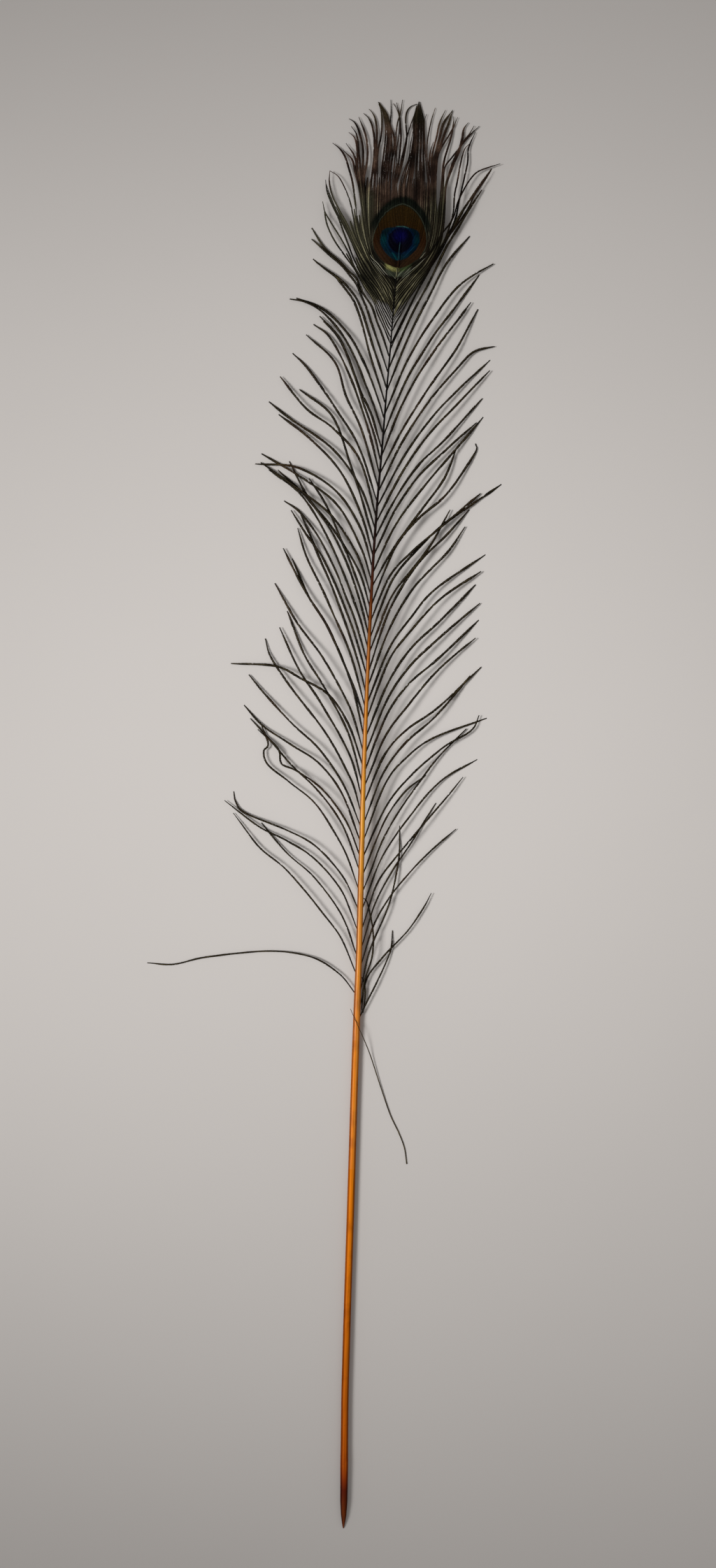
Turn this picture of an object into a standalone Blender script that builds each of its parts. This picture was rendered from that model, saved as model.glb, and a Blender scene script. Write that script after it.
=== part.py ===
# A peacock's train feather with a dyed shaft, lying on a flat surface with its eye upwards,
# and one loose barb that lies across the shaft.
# Metres, +Z up, +Y from the quill's tip towards the eye. The surface is at Z = 0, and the
# origin is under the bare shaft, in the flat facet that the feather rests on.
import math

import bmesh
import bpy
from mathutils import Vector

MM = 0.001

# Stations are millimetres along the feather from the quill's tip. X is millimetres to the
# right of the quill's tip, seen from above.
ORIGIN_STATION = 200.0

# The shaft: station, X of its centre line and width. It is a plain quill where it is bare,
# thins between the barbs and ends as a thread in the eye.
SHAFT = (
    (0.0, 0.0, 0.7),
    (3.0, -0.1, 1.9),
    (9.0, -0.3, 3.7),
    (19.0, -0.6, 5.0),
    (47.0, -1.5, 5.4),
    (60.0, -2.0, 5.1),
    (95.0, -3.1, 5.1),
    (150.0, -3.9, 5.1),
    (239.0, -4.9, 5.1),
    (300.0, -5.7, 5.0),
    (335.0, -6.05, 5.0),
    (364.0, -6.3, 4.8),
    (400.0, -6.5, 4.3),
    (450.0, -7.4, 4.2),
    (480.0, -7.9, 3.8),
    (520.0, -8.7, 3.4),
    (560.0, -9.0, 3.0),
    (600.0, -9.05, 2.7),
    (640.0, -8.9, 2.3),
    (680.0, -8.5, 1.9),
    (720.0, -7.4, 1.6),
    (755.0, -5.7, 1.4),
    (790.0, -4.5, 1.25),
    (825.0, -2.9, 1.1),
    (868.0, -1.6, 0.95),
    (900.0, 1.2, 0.6),
)
SHAFT_HEIGHT_TO_WIDTH = 0.94
SHAFT_SIDES = 8

# The shaft's upper part arches off the surface over its barbs and comes down towards the eye.
RISE_FROM = 330.0
RISE_TO = 550.0
CREST_LIFT = 8.5
FALL_FROM = 590.0
FALL_TO = 900.0
EYE_LIFT = 4.6

# Loose barbs of the left side: the station where each leaves the shaft's edge, then
# (X, station) where its course bends, and its tip.
LEFT_BARBS = (
    (375.4, (-20.0, 388.0), (-40.0, 398.8), (-70.0, 401.5), (-112.0, 395.5), (-136.0, 389.3),
     (-154.2, 389.5)),
    (390.0, (-20.3, 413.8), (-40.0, 437.8), (-60.2, 459.3), (-80.0, 474.4), (-98.6, 497.0)),
    (403.0, (-20.3, 429.7), (-40.0, 454.3), (-60.2, 470.9), (-78.9, 490.7)),
    (420.5, (-20.3, 445.5), (-40.0, 467.0), (-60.2, 479.4), (-80.0, 488.0), (-105.2, 505.3)),
    (435.3, (-20.3, 456.1), (-40.0, 476.2), (-60.2, 486.4), (-90.0, 497.0), (-97.3, 504.5),
     (-99.1, 511.9)),
    (449.5, (-20.3, 474.8), (-40.0, 504.3), (-59.8, 519.8), (-75.3, 531.4), (-79.2, 540.6),
     (-76.4, 546.3), (-82.4, 561.4)),
    (463.0, (-22.0, 491.7), (-40.0, 514.9), (-60.2, 532.9), (-76.0, 549.8), (-89.8, 563.5)),
    (473.0, (-19.3, 494.3), (-36.0, 515.3), (-55.6, 528.3), (-66.2, 532.9), (-69.3, 543.1),
     (-84.0, 556.0)),
    (483.0, (-22.7, 512.7), (-40.0, 533.9), (-60.2, 546.3), (-80.0, 558.2), (-94.5, 572.6)),
    (493.0, (-22.7, 520.3), (-40.0, 543.4), (-60.2, 561.1), (-80.0, 580.8), (-91.9, 593.9)),
    (503.5, (-18.0, 525.0), (-35.1, 553.7), (-60.2, 584.0), (-76.7, 606.5), (-81.7, 619.7)),
    (515.0, (-19.0, 541.0), (-40.0, 575.2), (-57.0, 598.8), (-71.8, 628.1)),
    (524.5, (-20.3, 555.1), (-35.1, 581.9), (-53.5, 609.4), (-66.9, 639.6)),
    (536.0, (-20.3, 561.4), (-35.5, 581.9), (-54.9, 592.4), (-73.6, 600.6), (-104.7, 601.3)),
    (546.0, (-20.3, 573.4), (-40.0, 606.9), (-60.2, 632.5), (-76.5, 658.8)),
    (557.0, (-20.3, 591.7), (-36.9, 627.0), (-55.6, 655.1), (-71.6, 683.3)),
    (568.0, (-19.6, 591.0), (-38.0, 629.0), (-52.1, 649.4), (-65.0, 676.5)),
    (577.0, (-22.4, 612.9), (-41.5, 652.3), (-54.9, 677.7), (-62.1, 698.0)),
    (587.5, (-18.2, 612.2), (-34.4, 653.0), (-47.8, 681.2), (-60.3, 707.3)),
    (599.0, (-21.7, 631.1), (-40.8, 672.7), (-56.3, 693.9), (-67.2, 710.2)),
    (608.0, (-22.4, 642.4), (-42.9, 684.7), (-60.2, 708.0), (-72.3, 716.8)),
    (618.0, (-18.9, 643.8), (-38.0, 686.1), (-59.8, 720.0), (-84.3, 738.0)),
    (627.3, (-20.7, 660.0), (-37.0, 694.0), (-56.3, 720.0), (-70.0, 744.4)),
    (636.3, (-18.0, 660.0), (-33.7, 695.3), (-43.6, 715.7), (-55.7, 732.8)),
    (646.0, (-18.7, 670.0), (-38.7, 699.5), (-60.0, 722.5), (-78.0, 738.0)),
    (655.0, (-19.7, 680.0), (-37.2, 705.2), (-57.7, 721.4), (-89.9, 742.7)),
    (664.3, (-17.5, 685.4), (-33.5, 713.0), (-56.3, 730.5), (-89.8, 748.9)),
    (673.7, (-19.0, 700.5), (-37.2, 724.9), (-64.8, 740.1), (-93.7, 741.3)),
    (682.0, (-19.3, 711.0), (-34.3, 738.6), (-54.7, 759.3), (-79.1, 777.1)),
    (691.7, (-18.5, 720.0), (-27.2, 743.1), (-41.3, 777.0), (-65.3, 795.0)),
    (701.0, (-19.6, 727.5), (-39.9, 753.7), (-69.9, 773.4), (-86.3, 785.6)),
    (709.7, (-20.2, 745.2), (-39.2, 767.1), (-59.7, 781.2), (-79.1, 803.1)),
    (719.7, (-20.9, 753.7), (-39.9, 783.3), (-59.7, 809.4), (-71.1, 820.3)),
    (729.8, (-20.2, 767.1), (-32.2, 791.1), (-41.3, 815.1), (-62.1, 833.4)),
    (739.0, (-17.4, 772.7), (-30.1, 804.5), (-44.9, 831.3), (-57.4, 841.1)),
    (748.0, (-20.2, 786.8), (-32.9, 819.3), (-53.2, 846.6)),
    (756.5, (-22.3, 805.2), (-36.4, 832.7), (-54.7, 851.7), (-74.5, 857.9)),
    (767.1, (-18.8, 809.4), (-35.7, 837.6), (-54.7, 853.5), (-70.3, 858.9)),
    (777.3, (-13.0, 800.0), (-22.0, 832.0), (-27.5, 852.0), (-37.0, 867.0), (-57.5, 884.0)),
    (787.9, (-12.0, 808.0), (-19.5, 836.0), (-31.5, 864.0), (-48.0, 878.0), (-59.6, 886.8)),
    (798.5, (-10.0, 815.0), (-19.0, 850.0), (-28.0, 869.0), (-43.0, 885.5), (-61.0, 900.5)),
    (809.4, (-9.5, 825.0), (-20.0, 856.0), (-29.5, 874.5), (-42.0, 886.5), (-61.5, 908.3)),
)

# Loose barbs of the right side. The first two droop back towards the quill.
RIGHT_BARBS = (
    (386.0, (-2.2, 381.7), (-1.1, 373.0), (-2.0, 361.0)),
    (441.3, (-1.9, 437.4), (2.6, 419.0), (2.7, 401.4), (-1.9, 383.1), (-3.3, 363.0)),
    (359.0, (-0.8, 366.2), (7.6, 385.2), (15.4, 405.0), (16.1, 419.4)),
    (368.0, (-0.1, 386.0), (10.0, 400.4), (26.7, 419.8), (36.9, 435.7), (42.2, 446.7)),
    (379.0, (0.9, 405.0), (12.9, 438.1), (18.2, 469.2), (17.9, 493.1)),
    (397.0, (2.7, 422.3), (15.0, 445.9), (34.8, 470.2), (57.4, 492.6)),
    (409.0, (2.7, 436.7), (14.0, 460.7), (26.7, 481.8), (42.5, 509.9)),
    (422.0, (3.4, 450.5), (15.0, 469.1), (35.1, 495.5), (60.9, 528.8)),
    (436.0, (6.6, 470.6), (25.0, 500.0), (45.0, 525.1), (70.2, 541.7)),
    (448.0, (6.9, 483.3), (20.0, 507.8), (42.2, 541.0), (61.8, 562.8)),
    (460.0, (6.9, 495.2), (20.0, 515.9), (34.5, 529.0)),
    (472.5, (7.6, 505.7), (24.6, 529.0), (46.4, 549.1), (65.1, 561.8), (70.3, 572.6)),
    (484.5, (6.6, 521.9), (20.0, 540.3), (40.1, 556.1), (75.7, 570.8)),
    (496.5, (5.0, 529.7), (20.0, 551.5), (40.8, 571.6), (62.8, 599.9)),
    (510.0, (5.0, 541.3), (20.0, 560.4), (40.1, 575.5), (70.3, 606.4)),
    (522.0, (5.0, 554.4), (20.0, 576.9), (40.1, 602.7), (65.3, 626.5)),
    (533.0, (5.0, 568.5), (20.0, 592.1), (40.1, 611.1), (67.2, 639.2)),
    (545.0, (5.0, 579.4), (20.0, 604.4), (40.1, 625.3), (67.3, 650.9)),
    (556.7, (5.0, 591.0), (20.0, 616.4), (40.1, 637.5), (63.7, 663.7)),
    (569.0, (5.0, 606.5), (20.0, 629.7), (39.4, 652.3), (67.0, 673.1)),
    (580.0, (5.0, 615.5), (20.0, 638.9), (35.1, 658.6), (69.7, 685.2)),
    (591.7, (5.0, 630.4), (20.0, 658.6), (42.2, 684.4), (54.7, 703.9)),
    (602.0, (3.7, 641.0), (21.0, 674.1), (40.1, 695.3), (57.0, 716.0)),
    (615.0, (4.7, 651.0), (18.2, 671.3), (30.9, 689.6), (43.6, 715.2)),
    (625.0, (5.0, 663.0), (25.3, 690.4), (45.0, 709.0), (78.7, 734.8)),
    (637.0, (3.7, 667.0), (20.0, 686.1), (39.4, 704.1), (64.4, 727.7)),
    (648.0, (6.2, 686.1), (21.7, 707.6), (40.1, 725.3), (59.1, 755.1), (59.6, 762.4)),
    (660.7, (5.0, 685.4), (23.9, 714.3), (38.7, 736.9), (46.4, 758.6)),
    (670.3, (5.0, 700.2), (20.0, 723.8), (40.1, 750.2), (64.0, 781.2)),
    (682.7, (5.0, 712.2), (20.0, 736.5), (40.1, 757.9), (59.7, 777.0)),
    (694.0, (5.0, 720.7), (20.3, 745.2), (40.1, 766.4), (62.8, 794.5)),
    (705.0, (8.3, 737.6), (25.3, 765.0), (45.0, 788.3), (67.3, 813.8)),
    (716.0, (9.0, 749.0), (25.3, 774.9), (45.0, 798.8), (67.2, 821.4)),
    (727.0, (7.6, 759.3), (25.3, 789.7), (45.0, 815.1), (56.0, 826.5), (69.9, 831.3)),
    (739.5, (7.6, 768.5), (25.3, 799.5), (44.3, 829.9), (56.9, 856.5)),
    (752.0, (7.6, 788.3), (25.3, 821.4), (52.1, 860.7)),
    (766.0, (7.6, 800.2), (25.3, 833.4), (45.7, 863.7), (57.0, 880.5)),
    (781.5, (10.1, 819.3), (26.7, 848.9), (40.5, 869.0), (53.5, 880.0), (66.4, 888.6)),
    (797.8, (9.0, 832.7), (22.4, 863.0), (34.0, 887.5), (49.0, 907.3)),
    (812.9, (10.5, 848.9), (23.1, 875.0), (33.5, 899.0), (46.0, 922.0), (56.2, 939.8)),
    (826.3, (7.6, 851.7), (20.0, 878.0), (33.0, 905.0), (45.5, 928.0), (62.4, 955.3)),
)

# The close-set vane round the eye: station, X of its left edge and X of its right edge.
VANE = (
    (832.0, -6.5, 2.0),
    (845.0, -13.0, 6.0),
    (858.0, -19.5, 12.0),
    (870.0, -24.5, 17.5),
    (882.0, -27.5, 23.0),
    (895.0, -29.0, 27.5),
    (910.0, -28.5, 30.5),
    (925.0, -27.5, 29.0),
    (938.0, -23.5, 26.5),
    (950.0, -21.0, 23.5),
    (961.0, -15.5, 17.5),
)
VANE_COLUMNS = 6
VANE_THICKNESS = 1.2

# Fringe beyond the vane: the widest a tuft gets, then (X, station) from inside the vane to
# the tip.
FRINGE = (
    (1.6, (-20.0, 866.0), (-29.5, 878.5), (-39.0, 891.0), (-48.0, 905.0), (-54.8, 926.5)),
    (1.5, (-22.0, 872.0), (-32.5, 888.5), (-41.0, 901.0), (-52.5, 918.0)),
    (1.8, (-22.0, 877.0), (-34.5, 896.5), (-41.0, 910.5), (-48.0, 925.0), (-53.3, 941.7)),
    (1.8, (-22.0, 886.0), (-31.5, 900.0), (-40.0, 917.0), (-50.0, 936.0), (-50.3, 948.0)),
    (1.3, (-22.0, 890.0), (-29.5, 904.0), (-34.0, 922.0), (-39.5, 936.5), (-50.7, 948.3)),
    (1.8, (-22.0, 894.0), (-29.0, 910.5), (-32.5, 930.0), (-37.0, 949.5), (-49.5, 968.2)),
    (1.5, (-24.0, 912.0), (-29.0, 932.0), (-33.0, 948.0), (-42.0, 963.2)),
    (1.5, (-25.0, 915.0), (-30.5, 945.0), (-34.0, 960.0), (-40.0, 968.3)),
    (2.2, (-25.0, 918.0), (-31.0, 945.0), (-32.0, 966.0), (-38.5, 976.2)),
    (1.5, (-24.5, 922.0), (-29.5, 950.0), (-31.0, 968.0), (-37.3, 981.5)),
    (1.5, (-24.0, 922.0), (-28.0, 955.0), (-31.0, 976.0), (-38.8, 985.8)),
    (2.2, (-23.0, 922.0), (-25.5, 950.0), (-26.3, 971.5), (-32.0, 987.2)),
    (2.2, (-20.0, 925.0), (-20.3, 960.0), (-21.0, 975.0), (-24.0, 985.0), (-28.6, 990.0)),
    (2.0, (-18.0, 930.0), (-18.5, 965.0), (-19.5, 983.0), (-25.0, 993.0)),
    (5.0, (-11.0, 940.0), (-9.7, 962.0), (-10.7, 978.0), (-14.0, 988.5), (-18.8, 998.3)),
    (1.5, (-8.0, 945.0), (-8.0, 970.0), (-9.5, 987.0), (-10.1, 1000.3)),
    (1.5, (-5.0, 945.0), (-1.5, 980.0), (-3.0, 989.0), (-8.2, 997.8)),
    (1.3, (-4.5, 945.0), (-5.5, 976.0), (-3.8, 989.0), (-2.0, 1000.7)),
    (1.8, (-3.0, 942.0), (0.7, 964.0), (1.0, 986.0), (8.5, 998.0)),
    (7.0, (6.0, 945.0), (9.5, 965.0), (10.8, 985.0), (9.8, 999.5)),
    (1.8, (13.0, 945.0), (16.0, 967.0), (14.3, 983.0), (15.5, 991.3)),
    (1.5, (17.0, 940.0), (16.5, 967.0), (18.0, 983.0), (21.4, 996.0)),
    (2.0, (20.0, 940.0), (21.0, 966.0), (24.5, 984.0), (28.5, 994.7)),
    (3.4, (21.5, 940.0), (23.5, 962.0), (27.0, 976.0), (31.0, 988.0), (33.5, 995.0)),
    (1.8, (24.0, 922.0), (28.0, 950.0), (33.3, 976.0), (34.4, 990.5)),
    (1.5, (21.0, 942.0), (29.0, 973.0), (34.5, 983.0), (37.2, 990.0)),
    (2.6, (26.0, 918.0), (32.5, 945.0), (37.5, 962.0), (41.4, 978.0), (45.0, 986.5)),
    (1.5, (37.5, 962.0), (41.0, 972.0), (45.5, 978.0), (49.0, 984.5)),
    (1.5, (27.5, 948.0), (36.0, 963.5), (42.5, 973.5), (52.7, 984.5)),
    (1.4, (38.0, 926.0), (41.5, 938.0), (46.0, 964.0), (50.0, 980.0)),
    (1.4, (34.0, 915.0), (37.8, 940.0), (40.5, 956.0), (46.0, 971.5)),
    (1.8, (21.0, 893.5), (31.0, 909.0), (38.5, 925.0), (44.5, 940.5), (52.0, 951.5),
     (68.5, 958.7)),
)

# Height of the vane over the surface at the shaft, and how far out and up it has come down.
VANE_HEIGHT = 5.4
VANE_FALL_HALF_WIDTH = 85.0
FRINGE_FALL_FROM = 900.0
FRINGE_FALL_TO = 1001.0
FRINGE_TIP_HEIGHT = 0.5

# Section of a barb: a rhombus, broad where the barbules stand out, fine at both ends.
ROOT_WIDTH = 1.1
MID_WIDTH = 1.6
TIP_WIDTH = 0.5
BARB_HEIGHT = 0.8
TIP_HEIGHT = 0.4
SEGMENT_LENGTH = 24.0
FEWEST_SEGMENTS = 4

# How the loose barbs arch between the shaft and the surface, taken in turn so that barbs
# that cross pass over each other.
ARCHES = (0.6, 2.2, 1.3)
TIP_RISES = (0.0, 1.1, 0.4, 1.8)

# The loose barb: (X, station, height of its centre). It rests on the shaft and on the
# surface to the right of it.
STRAY_BARB = (
    (-10.8, 363.8, 5.0),
    (-6.2, 354.5, 5.45),
    (-3.0, 348.0, 5.25),
    (0.0, 341.9, 4.1),
    (7.0, 325.5, 1.3),
    (20.0, 291.0, 0.55),
    (33.2, 256.5, 0.45),
)
STRAY_WIDTH = 0.9
STRAY_HEIGHT = 0.5

SHAFT_COLOUR = (0.62, 0.24, 0.02, 1.0)
BARB_COLOUR = (0.06, 0.045, 0.02, 1.0)
KERATIN_ROUGHNESS = 0.5


def clear_scene():
    for item in list(bpy.data.objects):
        bpy.data.objects.remove(item, do_unlink=True)


def smooth_step(start, end, value):
    part = min(1.0, max(0.0, (value - start) / (end - start)))
    return part * part * (3.0 - 2.0 * part)


def shaft_at(station):
    """Centre X, centre height and width of the shaft, in millimetres."""
    for lower, upper in zip(SHAFT, SHAFT[1:]):
        if station <= upper[0]:
            break
    part = (station - lower[0]) / (upper[0] - lower[0])
    x = lower[1] + part * (upper[1] - lower[1])
    width = lower[2] + part * (upper[2] - lower[2])
    lift = CREST_LIFT * smooth_step(RISE_FROM, RISE_TO, station)
    lift -= (CREST_LIFT - EYE_LIFT) * smooth_step(FALL_FROM, FALL_TO, station)
    return x, lift + width * SHAFT_HEIGHT_TO_WIDTH / 2.0, width


ORIGIN_X = shaft_at(ORIGIN_STATION)[0]


def place(x, station, height):
    return Vector((x - ORIGIN_X, station - ORIGIN_STATION, height)) * MM


def smooth_route(points, count):
    """count + 1 points at even distances along a smooth curve through the given ones."""
    ends = [points[0] * 2.0 - points[1]] + points + [points[-1] * 2.0 - points[-2]]
    fine = []
    for before, start, end, after in zip(ends, ends[1:], ends[2:], ends[3:]):
        for step in range(12):
            t = step / 12.0
            fine.append(
                0.5 * (2.0 * start + (end - before) * t
                       + (2.0 * before - 5.0 * start + 4.0 * end - after) * t ** 2
                       + (3.0 * start - before - 3.0 * end + after) * t ** 3)
            )
    fine.append(points[-1])
    reach = [0.0]
    for start, end in zip(fine, fine[1:]):
        reach.append(reach[-1] + (end - start).length)
    route = []
    piece = 0
    for step in range(count + 1):
        wanted = reach[-1] * step / count
        while piece < len(fine) - 2 and reach[piece + 1] < wanted:
            piece += 1
        part = (wanted - reach[piece]) / (reach[piece + 1] - reach[piece])
        route.append(fine[piece].lerp(fine[piece + 1], part))
    return route


def route_length(points):
    return sum((end - start).length for start, end in zip(points, points[1:]))


def add_tube(mesh, rings):
    """A closed tube through rings of points, with a flat cap at each end."""
    loops = [[mesh.verts.new(point) for point in ring] for ring in rings]
    sides = len(loops[0])
    for lower, upper in zip(loops, loops[1:]):
        for index in range(sides):
            after = (index + 1) % sides
            mesh.faces.new((lower[index], lower[after], upper[after], upper[index]))
    mesh.faces.new(list(reversed(loops[0])))
    mesh.faces.new(loops[-1])


def strand_rings(route, widths, heights):
    """Rhombus sections along a route of (X, station, height) points in millimetres."""
    rings = []
    for index, point in enumerate(route):
        before = route[max(index - 1, 0)]
        after = route[min(index + 1, len(route) - 1)]
        along = (after - before).to_2d().normalized()
        side = Vector((along.y, -along.x, 0.0)) * widths[index] / 2.0
        up = Vector((0.0, 0.0, heights[index] / 2.0))
        corners = (point + side, point + up, point - side, point - up)
        rings.append([place(*corner) for corner in corners])
    return rings


def spread(part, root, middle, tip):
    """A size along a barb: from root to middle over its first third, then to its tip."""
    if part < 0.3:
        return root + (middle - root) * smooth_step(0.0, 0.3, part)
    return tip + (middle - tip) * (1.0 - smooth_step(0.55, 1.0, part))


def add_strand(mesh, points, root_width, mid_width, tip_width):
    count = max(FEWEST_SEGMENTS, round(route_length(points) / SEGMENT_LENGTH))
    route = smooth_route(points, count)
    parts = [index / count for index in range(count + 1)]
    widths = [spread(part, root_width, mid_width, tip_width) for part in parts]
    heights = [spread(part, BARB_HEIGHT, BARB_HEIGHT, TIP_HEIGHT) for part in parts]
    add_tube(mesh, strand_rings(route, widths, heights))


def loose_route(side, index, barb):
    """A loose barb's points: inside the shaft, at its edge, then out to its tip."""
    root, *course = barb
    x, height, width = shaft_at(root)
    points = [(x, root - 0.6 * width), (x + side * width / 2.0, root)] + course
    flat = [Vector((px, station, 0.0)) for px, station in points]
    length = route_length(flat)
    tip_height = TIP_HEIGHT / 2.0 + TIP_RISES[index % len(TIP_RISES)]
    arch = ARCHES[index % len(ARCHES)]
    reach = 0.0
    route = []
    for before, point in zip([flat[0]] + flat, flat):
        reach += (point - before).length
        part = reach / length
        level = height + (tip_height - height) * part + arch * 4.0 * part * (1.0 - part)
        route.append(Vector((point.x, point.y, level)))
    return route


def vane_level(x, station):
    """Height of the close-set vane's middle over the surface."""
    fall = smooth_step(FRINGE_FALL_FROM, FRINGE_FALL_TO, station)
    crest = VANE_HEIGHT + (FRINGE_TIP_HEIGHT - VANE_HEIGHT) * fall
    side = min(1.0, abs(x) / VANE_FALL_HALF_WIDTH)
    return max(FRINGE_TIP_HEIGHT, crest * (1.0 - side ** 2))


def add_vane(mesh):
    """The close-set vane round the eye: a thin sheet, crowned at the shaft."""
    sheets = []
    for offset in (VANE_THICKNESS / 2.0, -VANE_THICKNESS / 2.0):
        rows = []
        for station, left, right in VANE:
            row = []
            for column in range(VANE_COLUMNS + 1):
                x = left + (right - left) * column / VANE_COLUMNS
                row.append(mesh.verts.new(place(x, station, vane_level(x, station) + offset)))
            rows.append(row)
        sheets.append(rows)
    top, bottom = sheets
    for row in range(len(VANE) - 1):
        for column in range(VANE_COLUMNS):
            corners = ((row, column), (row, column + 1), (row + 1, column + 1), (row + 1, column))
            mesh.faces.new([top[r][c] for r, c in corners])
            mesh.faces.new([bottom[r][c] for r, c in reversed(corners)])
    rim = [(0, column) for column in range(VANE_COLUMNS)]
    rim += [(row, VANE_COLUMNS) for row in range(len(VANE) - 1)]
    rim += [(len(VANE) - 1, column) for column in range(VANE_COLUMNS, 0, -1)]
    rim += [(row, 0) for row in range(len(VANE) - 1, 0, -1)]
    for (row, column), (next_row, next_column) in zip(rim, rim[1:] + rim[:1]):
        mesh.faces.new((
            top[row][column],
            bottom[row][column],
            bottom[next_row][next_column],
            top[next_row][next_column],
        ))


def shaft_rings():
    """Octagons with a flat facet underneath, from the quill's tip to the shaft's thread."""
    rings = []
    half_turn = math.pi / SHAFT_SIDES
    for station, _, _ in SHAFT:
        x, height, width = shaft_at(station)
        radius = width / 2.0 / math.cos(half_turn)
        ring = []
        for side in range(SHAFT_SIDES):
            angle = half_turn - side * 2.0 * half_turn
            level = height + radius * SHAFT_HEIGHT_TO_WIDTH * math.sin(angle)
            ring.append(place(x + radius * math.cos(angle), station, level))
        rings.append(ring)
    return rings


def make_object(name, mesh, colour):
    bmesh.ops.recalc_face_normals(mesh, faces=mesh.faces)
    data = bpy.data.meshes.new(name)
    mesh.to_mesh(data)
    mesh.free()
    made = bpy.data.objects.new(name, data)
    bpy.context.scene.collection.objects.link(made)
    material = bpy.data.materials.new(name)
    material.use_nodes = True
    shader = material.node_tree.nodes["Principled BSDF"]
    shader.inputs["Base Color"].default_value = colour
    shader.inputs["Roughness"].default_value = KERATIN_ROUGHNESS
    data.materials.append(material)
    return made


def make_shaft():
    mesh = bmesh.new()
    add_tube(mesh, shaft_rings())
    return make_object("feather", mesh, SHAFT_COLOUR)


def make_barbs():
    """Every barb, the fringe and the close-set vane, to be fused to the shaft."""
    mesh = bmesh.new()
    for side, barbs in ((-1.0, LEFT_BARBS), (1.0, RIGHT_BARBS)):
        for index, barb in enumerate(barbs):
            route = loose_route(side, index, barb)
            add_strand(mesh, route, ROOT_WIDTH, MID_WIDTH, TIP_WIDTH)
    for width, *course in FRINGE:
        route = [Vector((x, station, vane_level(x, station))) for x, station in course]
        add_strand(mesh, route, width, width, TIP_WIDTH)
    add_vane(mesh)
    return make_object("barbs", mesh, BARB_COLOUR)


def fuse(body, addition):
    """Joins the barbs to the shaft: they grew as one piece."""
    addition.hide_render = True
    addition.display_type = "WIRE"
    union = body.modifiers.new("grown together", "BOOLEAN")
    union.operation = "UNION"
    union.solver = "EXACT"
    union.use_self = True
    union.object = addition


def make_stray_barb():
    mesh = bmesh.new()
    points = [Vector(point) for point in STRAY_BARB]
    count = 2 * (len(points) - 1)
    route = smooth_route(points, count)
    parts = [index / count for index in range(count + 1)]
    widths = [spread(part, TIP_HEIGHT, STRAY_WIDTH, STRAY_WIDTH) for part in parts]
    add_tube(mesh, strand_rings(route, widths, [STRAY_HEIGHT] * len(route)))
    return make_object("stray_barb", mesh, BARB_COLOUR)


clear_scene()
feather = make_shaft()
fuse(feather, make_barbs())
make_stray_barb()
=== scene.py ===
import math

import bpy
import numpy as np
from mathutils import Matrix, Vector


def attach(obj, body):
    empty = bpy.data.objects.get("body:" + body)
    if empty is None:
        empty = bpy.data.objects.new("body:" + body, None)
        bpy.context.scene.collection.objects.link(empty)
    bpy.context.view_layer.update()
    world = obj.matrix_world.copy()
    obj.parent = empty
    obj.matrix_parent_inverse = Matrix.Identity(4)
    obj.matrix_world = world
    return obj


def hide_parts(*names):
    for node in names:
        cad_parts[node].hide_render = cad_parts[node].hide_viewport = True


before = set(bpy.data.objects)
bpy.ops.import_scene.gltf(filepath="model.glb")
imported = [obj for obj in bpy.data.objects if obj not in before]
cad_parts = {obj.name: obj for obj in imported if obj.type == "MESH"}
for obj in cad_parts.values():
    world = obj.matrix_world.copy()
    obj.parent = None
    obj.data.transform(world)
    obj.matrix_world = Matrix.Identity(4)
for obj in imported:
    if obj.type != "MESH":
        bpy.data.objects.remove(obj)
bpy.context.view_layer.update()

# A peacock's train feather with an orange shaft, lying on a pale floor and seen from above.
# Stations are millimetres along the feather from the quill's tip, and X is millimetres to
# the right of it, as in the solid model. The frame's origin is 200 mm from the tip.
millimetre = 0.001
originStation = 200.0
randomNumbers = np.random.default_rng(7)

# The shaft: station, X of its centre line, width.
shaftLine = (
    (0.0, 0.0, 0.7),
    (3.0, -0.1, 1.9),
    (9.0, -0.3, 3.7),
    (19.0, -0.6, 5.0),
    (47.0, -1.5, 5.4),
    (60.0, -2.0, 5.1),
    (95.0, -3.1, 5.1),
    (150.0, -3.9, 5.1),
    (239.0, -4.9, 5.1),
    (300.0, -5.7, 5.0),
    (335.0, -6.05, 5.0),
    (364.0, -6.3, 4.8),
    (400.0, -6.5, 4.3),
    (450.0, -7.4, 4.2),
    (480.0, -7.9, 3.8),
    (520.0, -8.7, 3.4),
    (560.0, -9.0, 3.0),
    (600.0, -9.05, 2.7),
    (640.0, -8.9, 2.3),
    (680.0, -8.5, 1.9),
    (720.0, -7.4, 1.6),
    (755.0, -5.7, 1.4),
    (790.0, -4.5, 1.25),
    (825.0, -2.9, 1.1),
    (868.0, -1.6, 0.95),
    (900.0, 1.2, 0.6),
)

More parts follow.
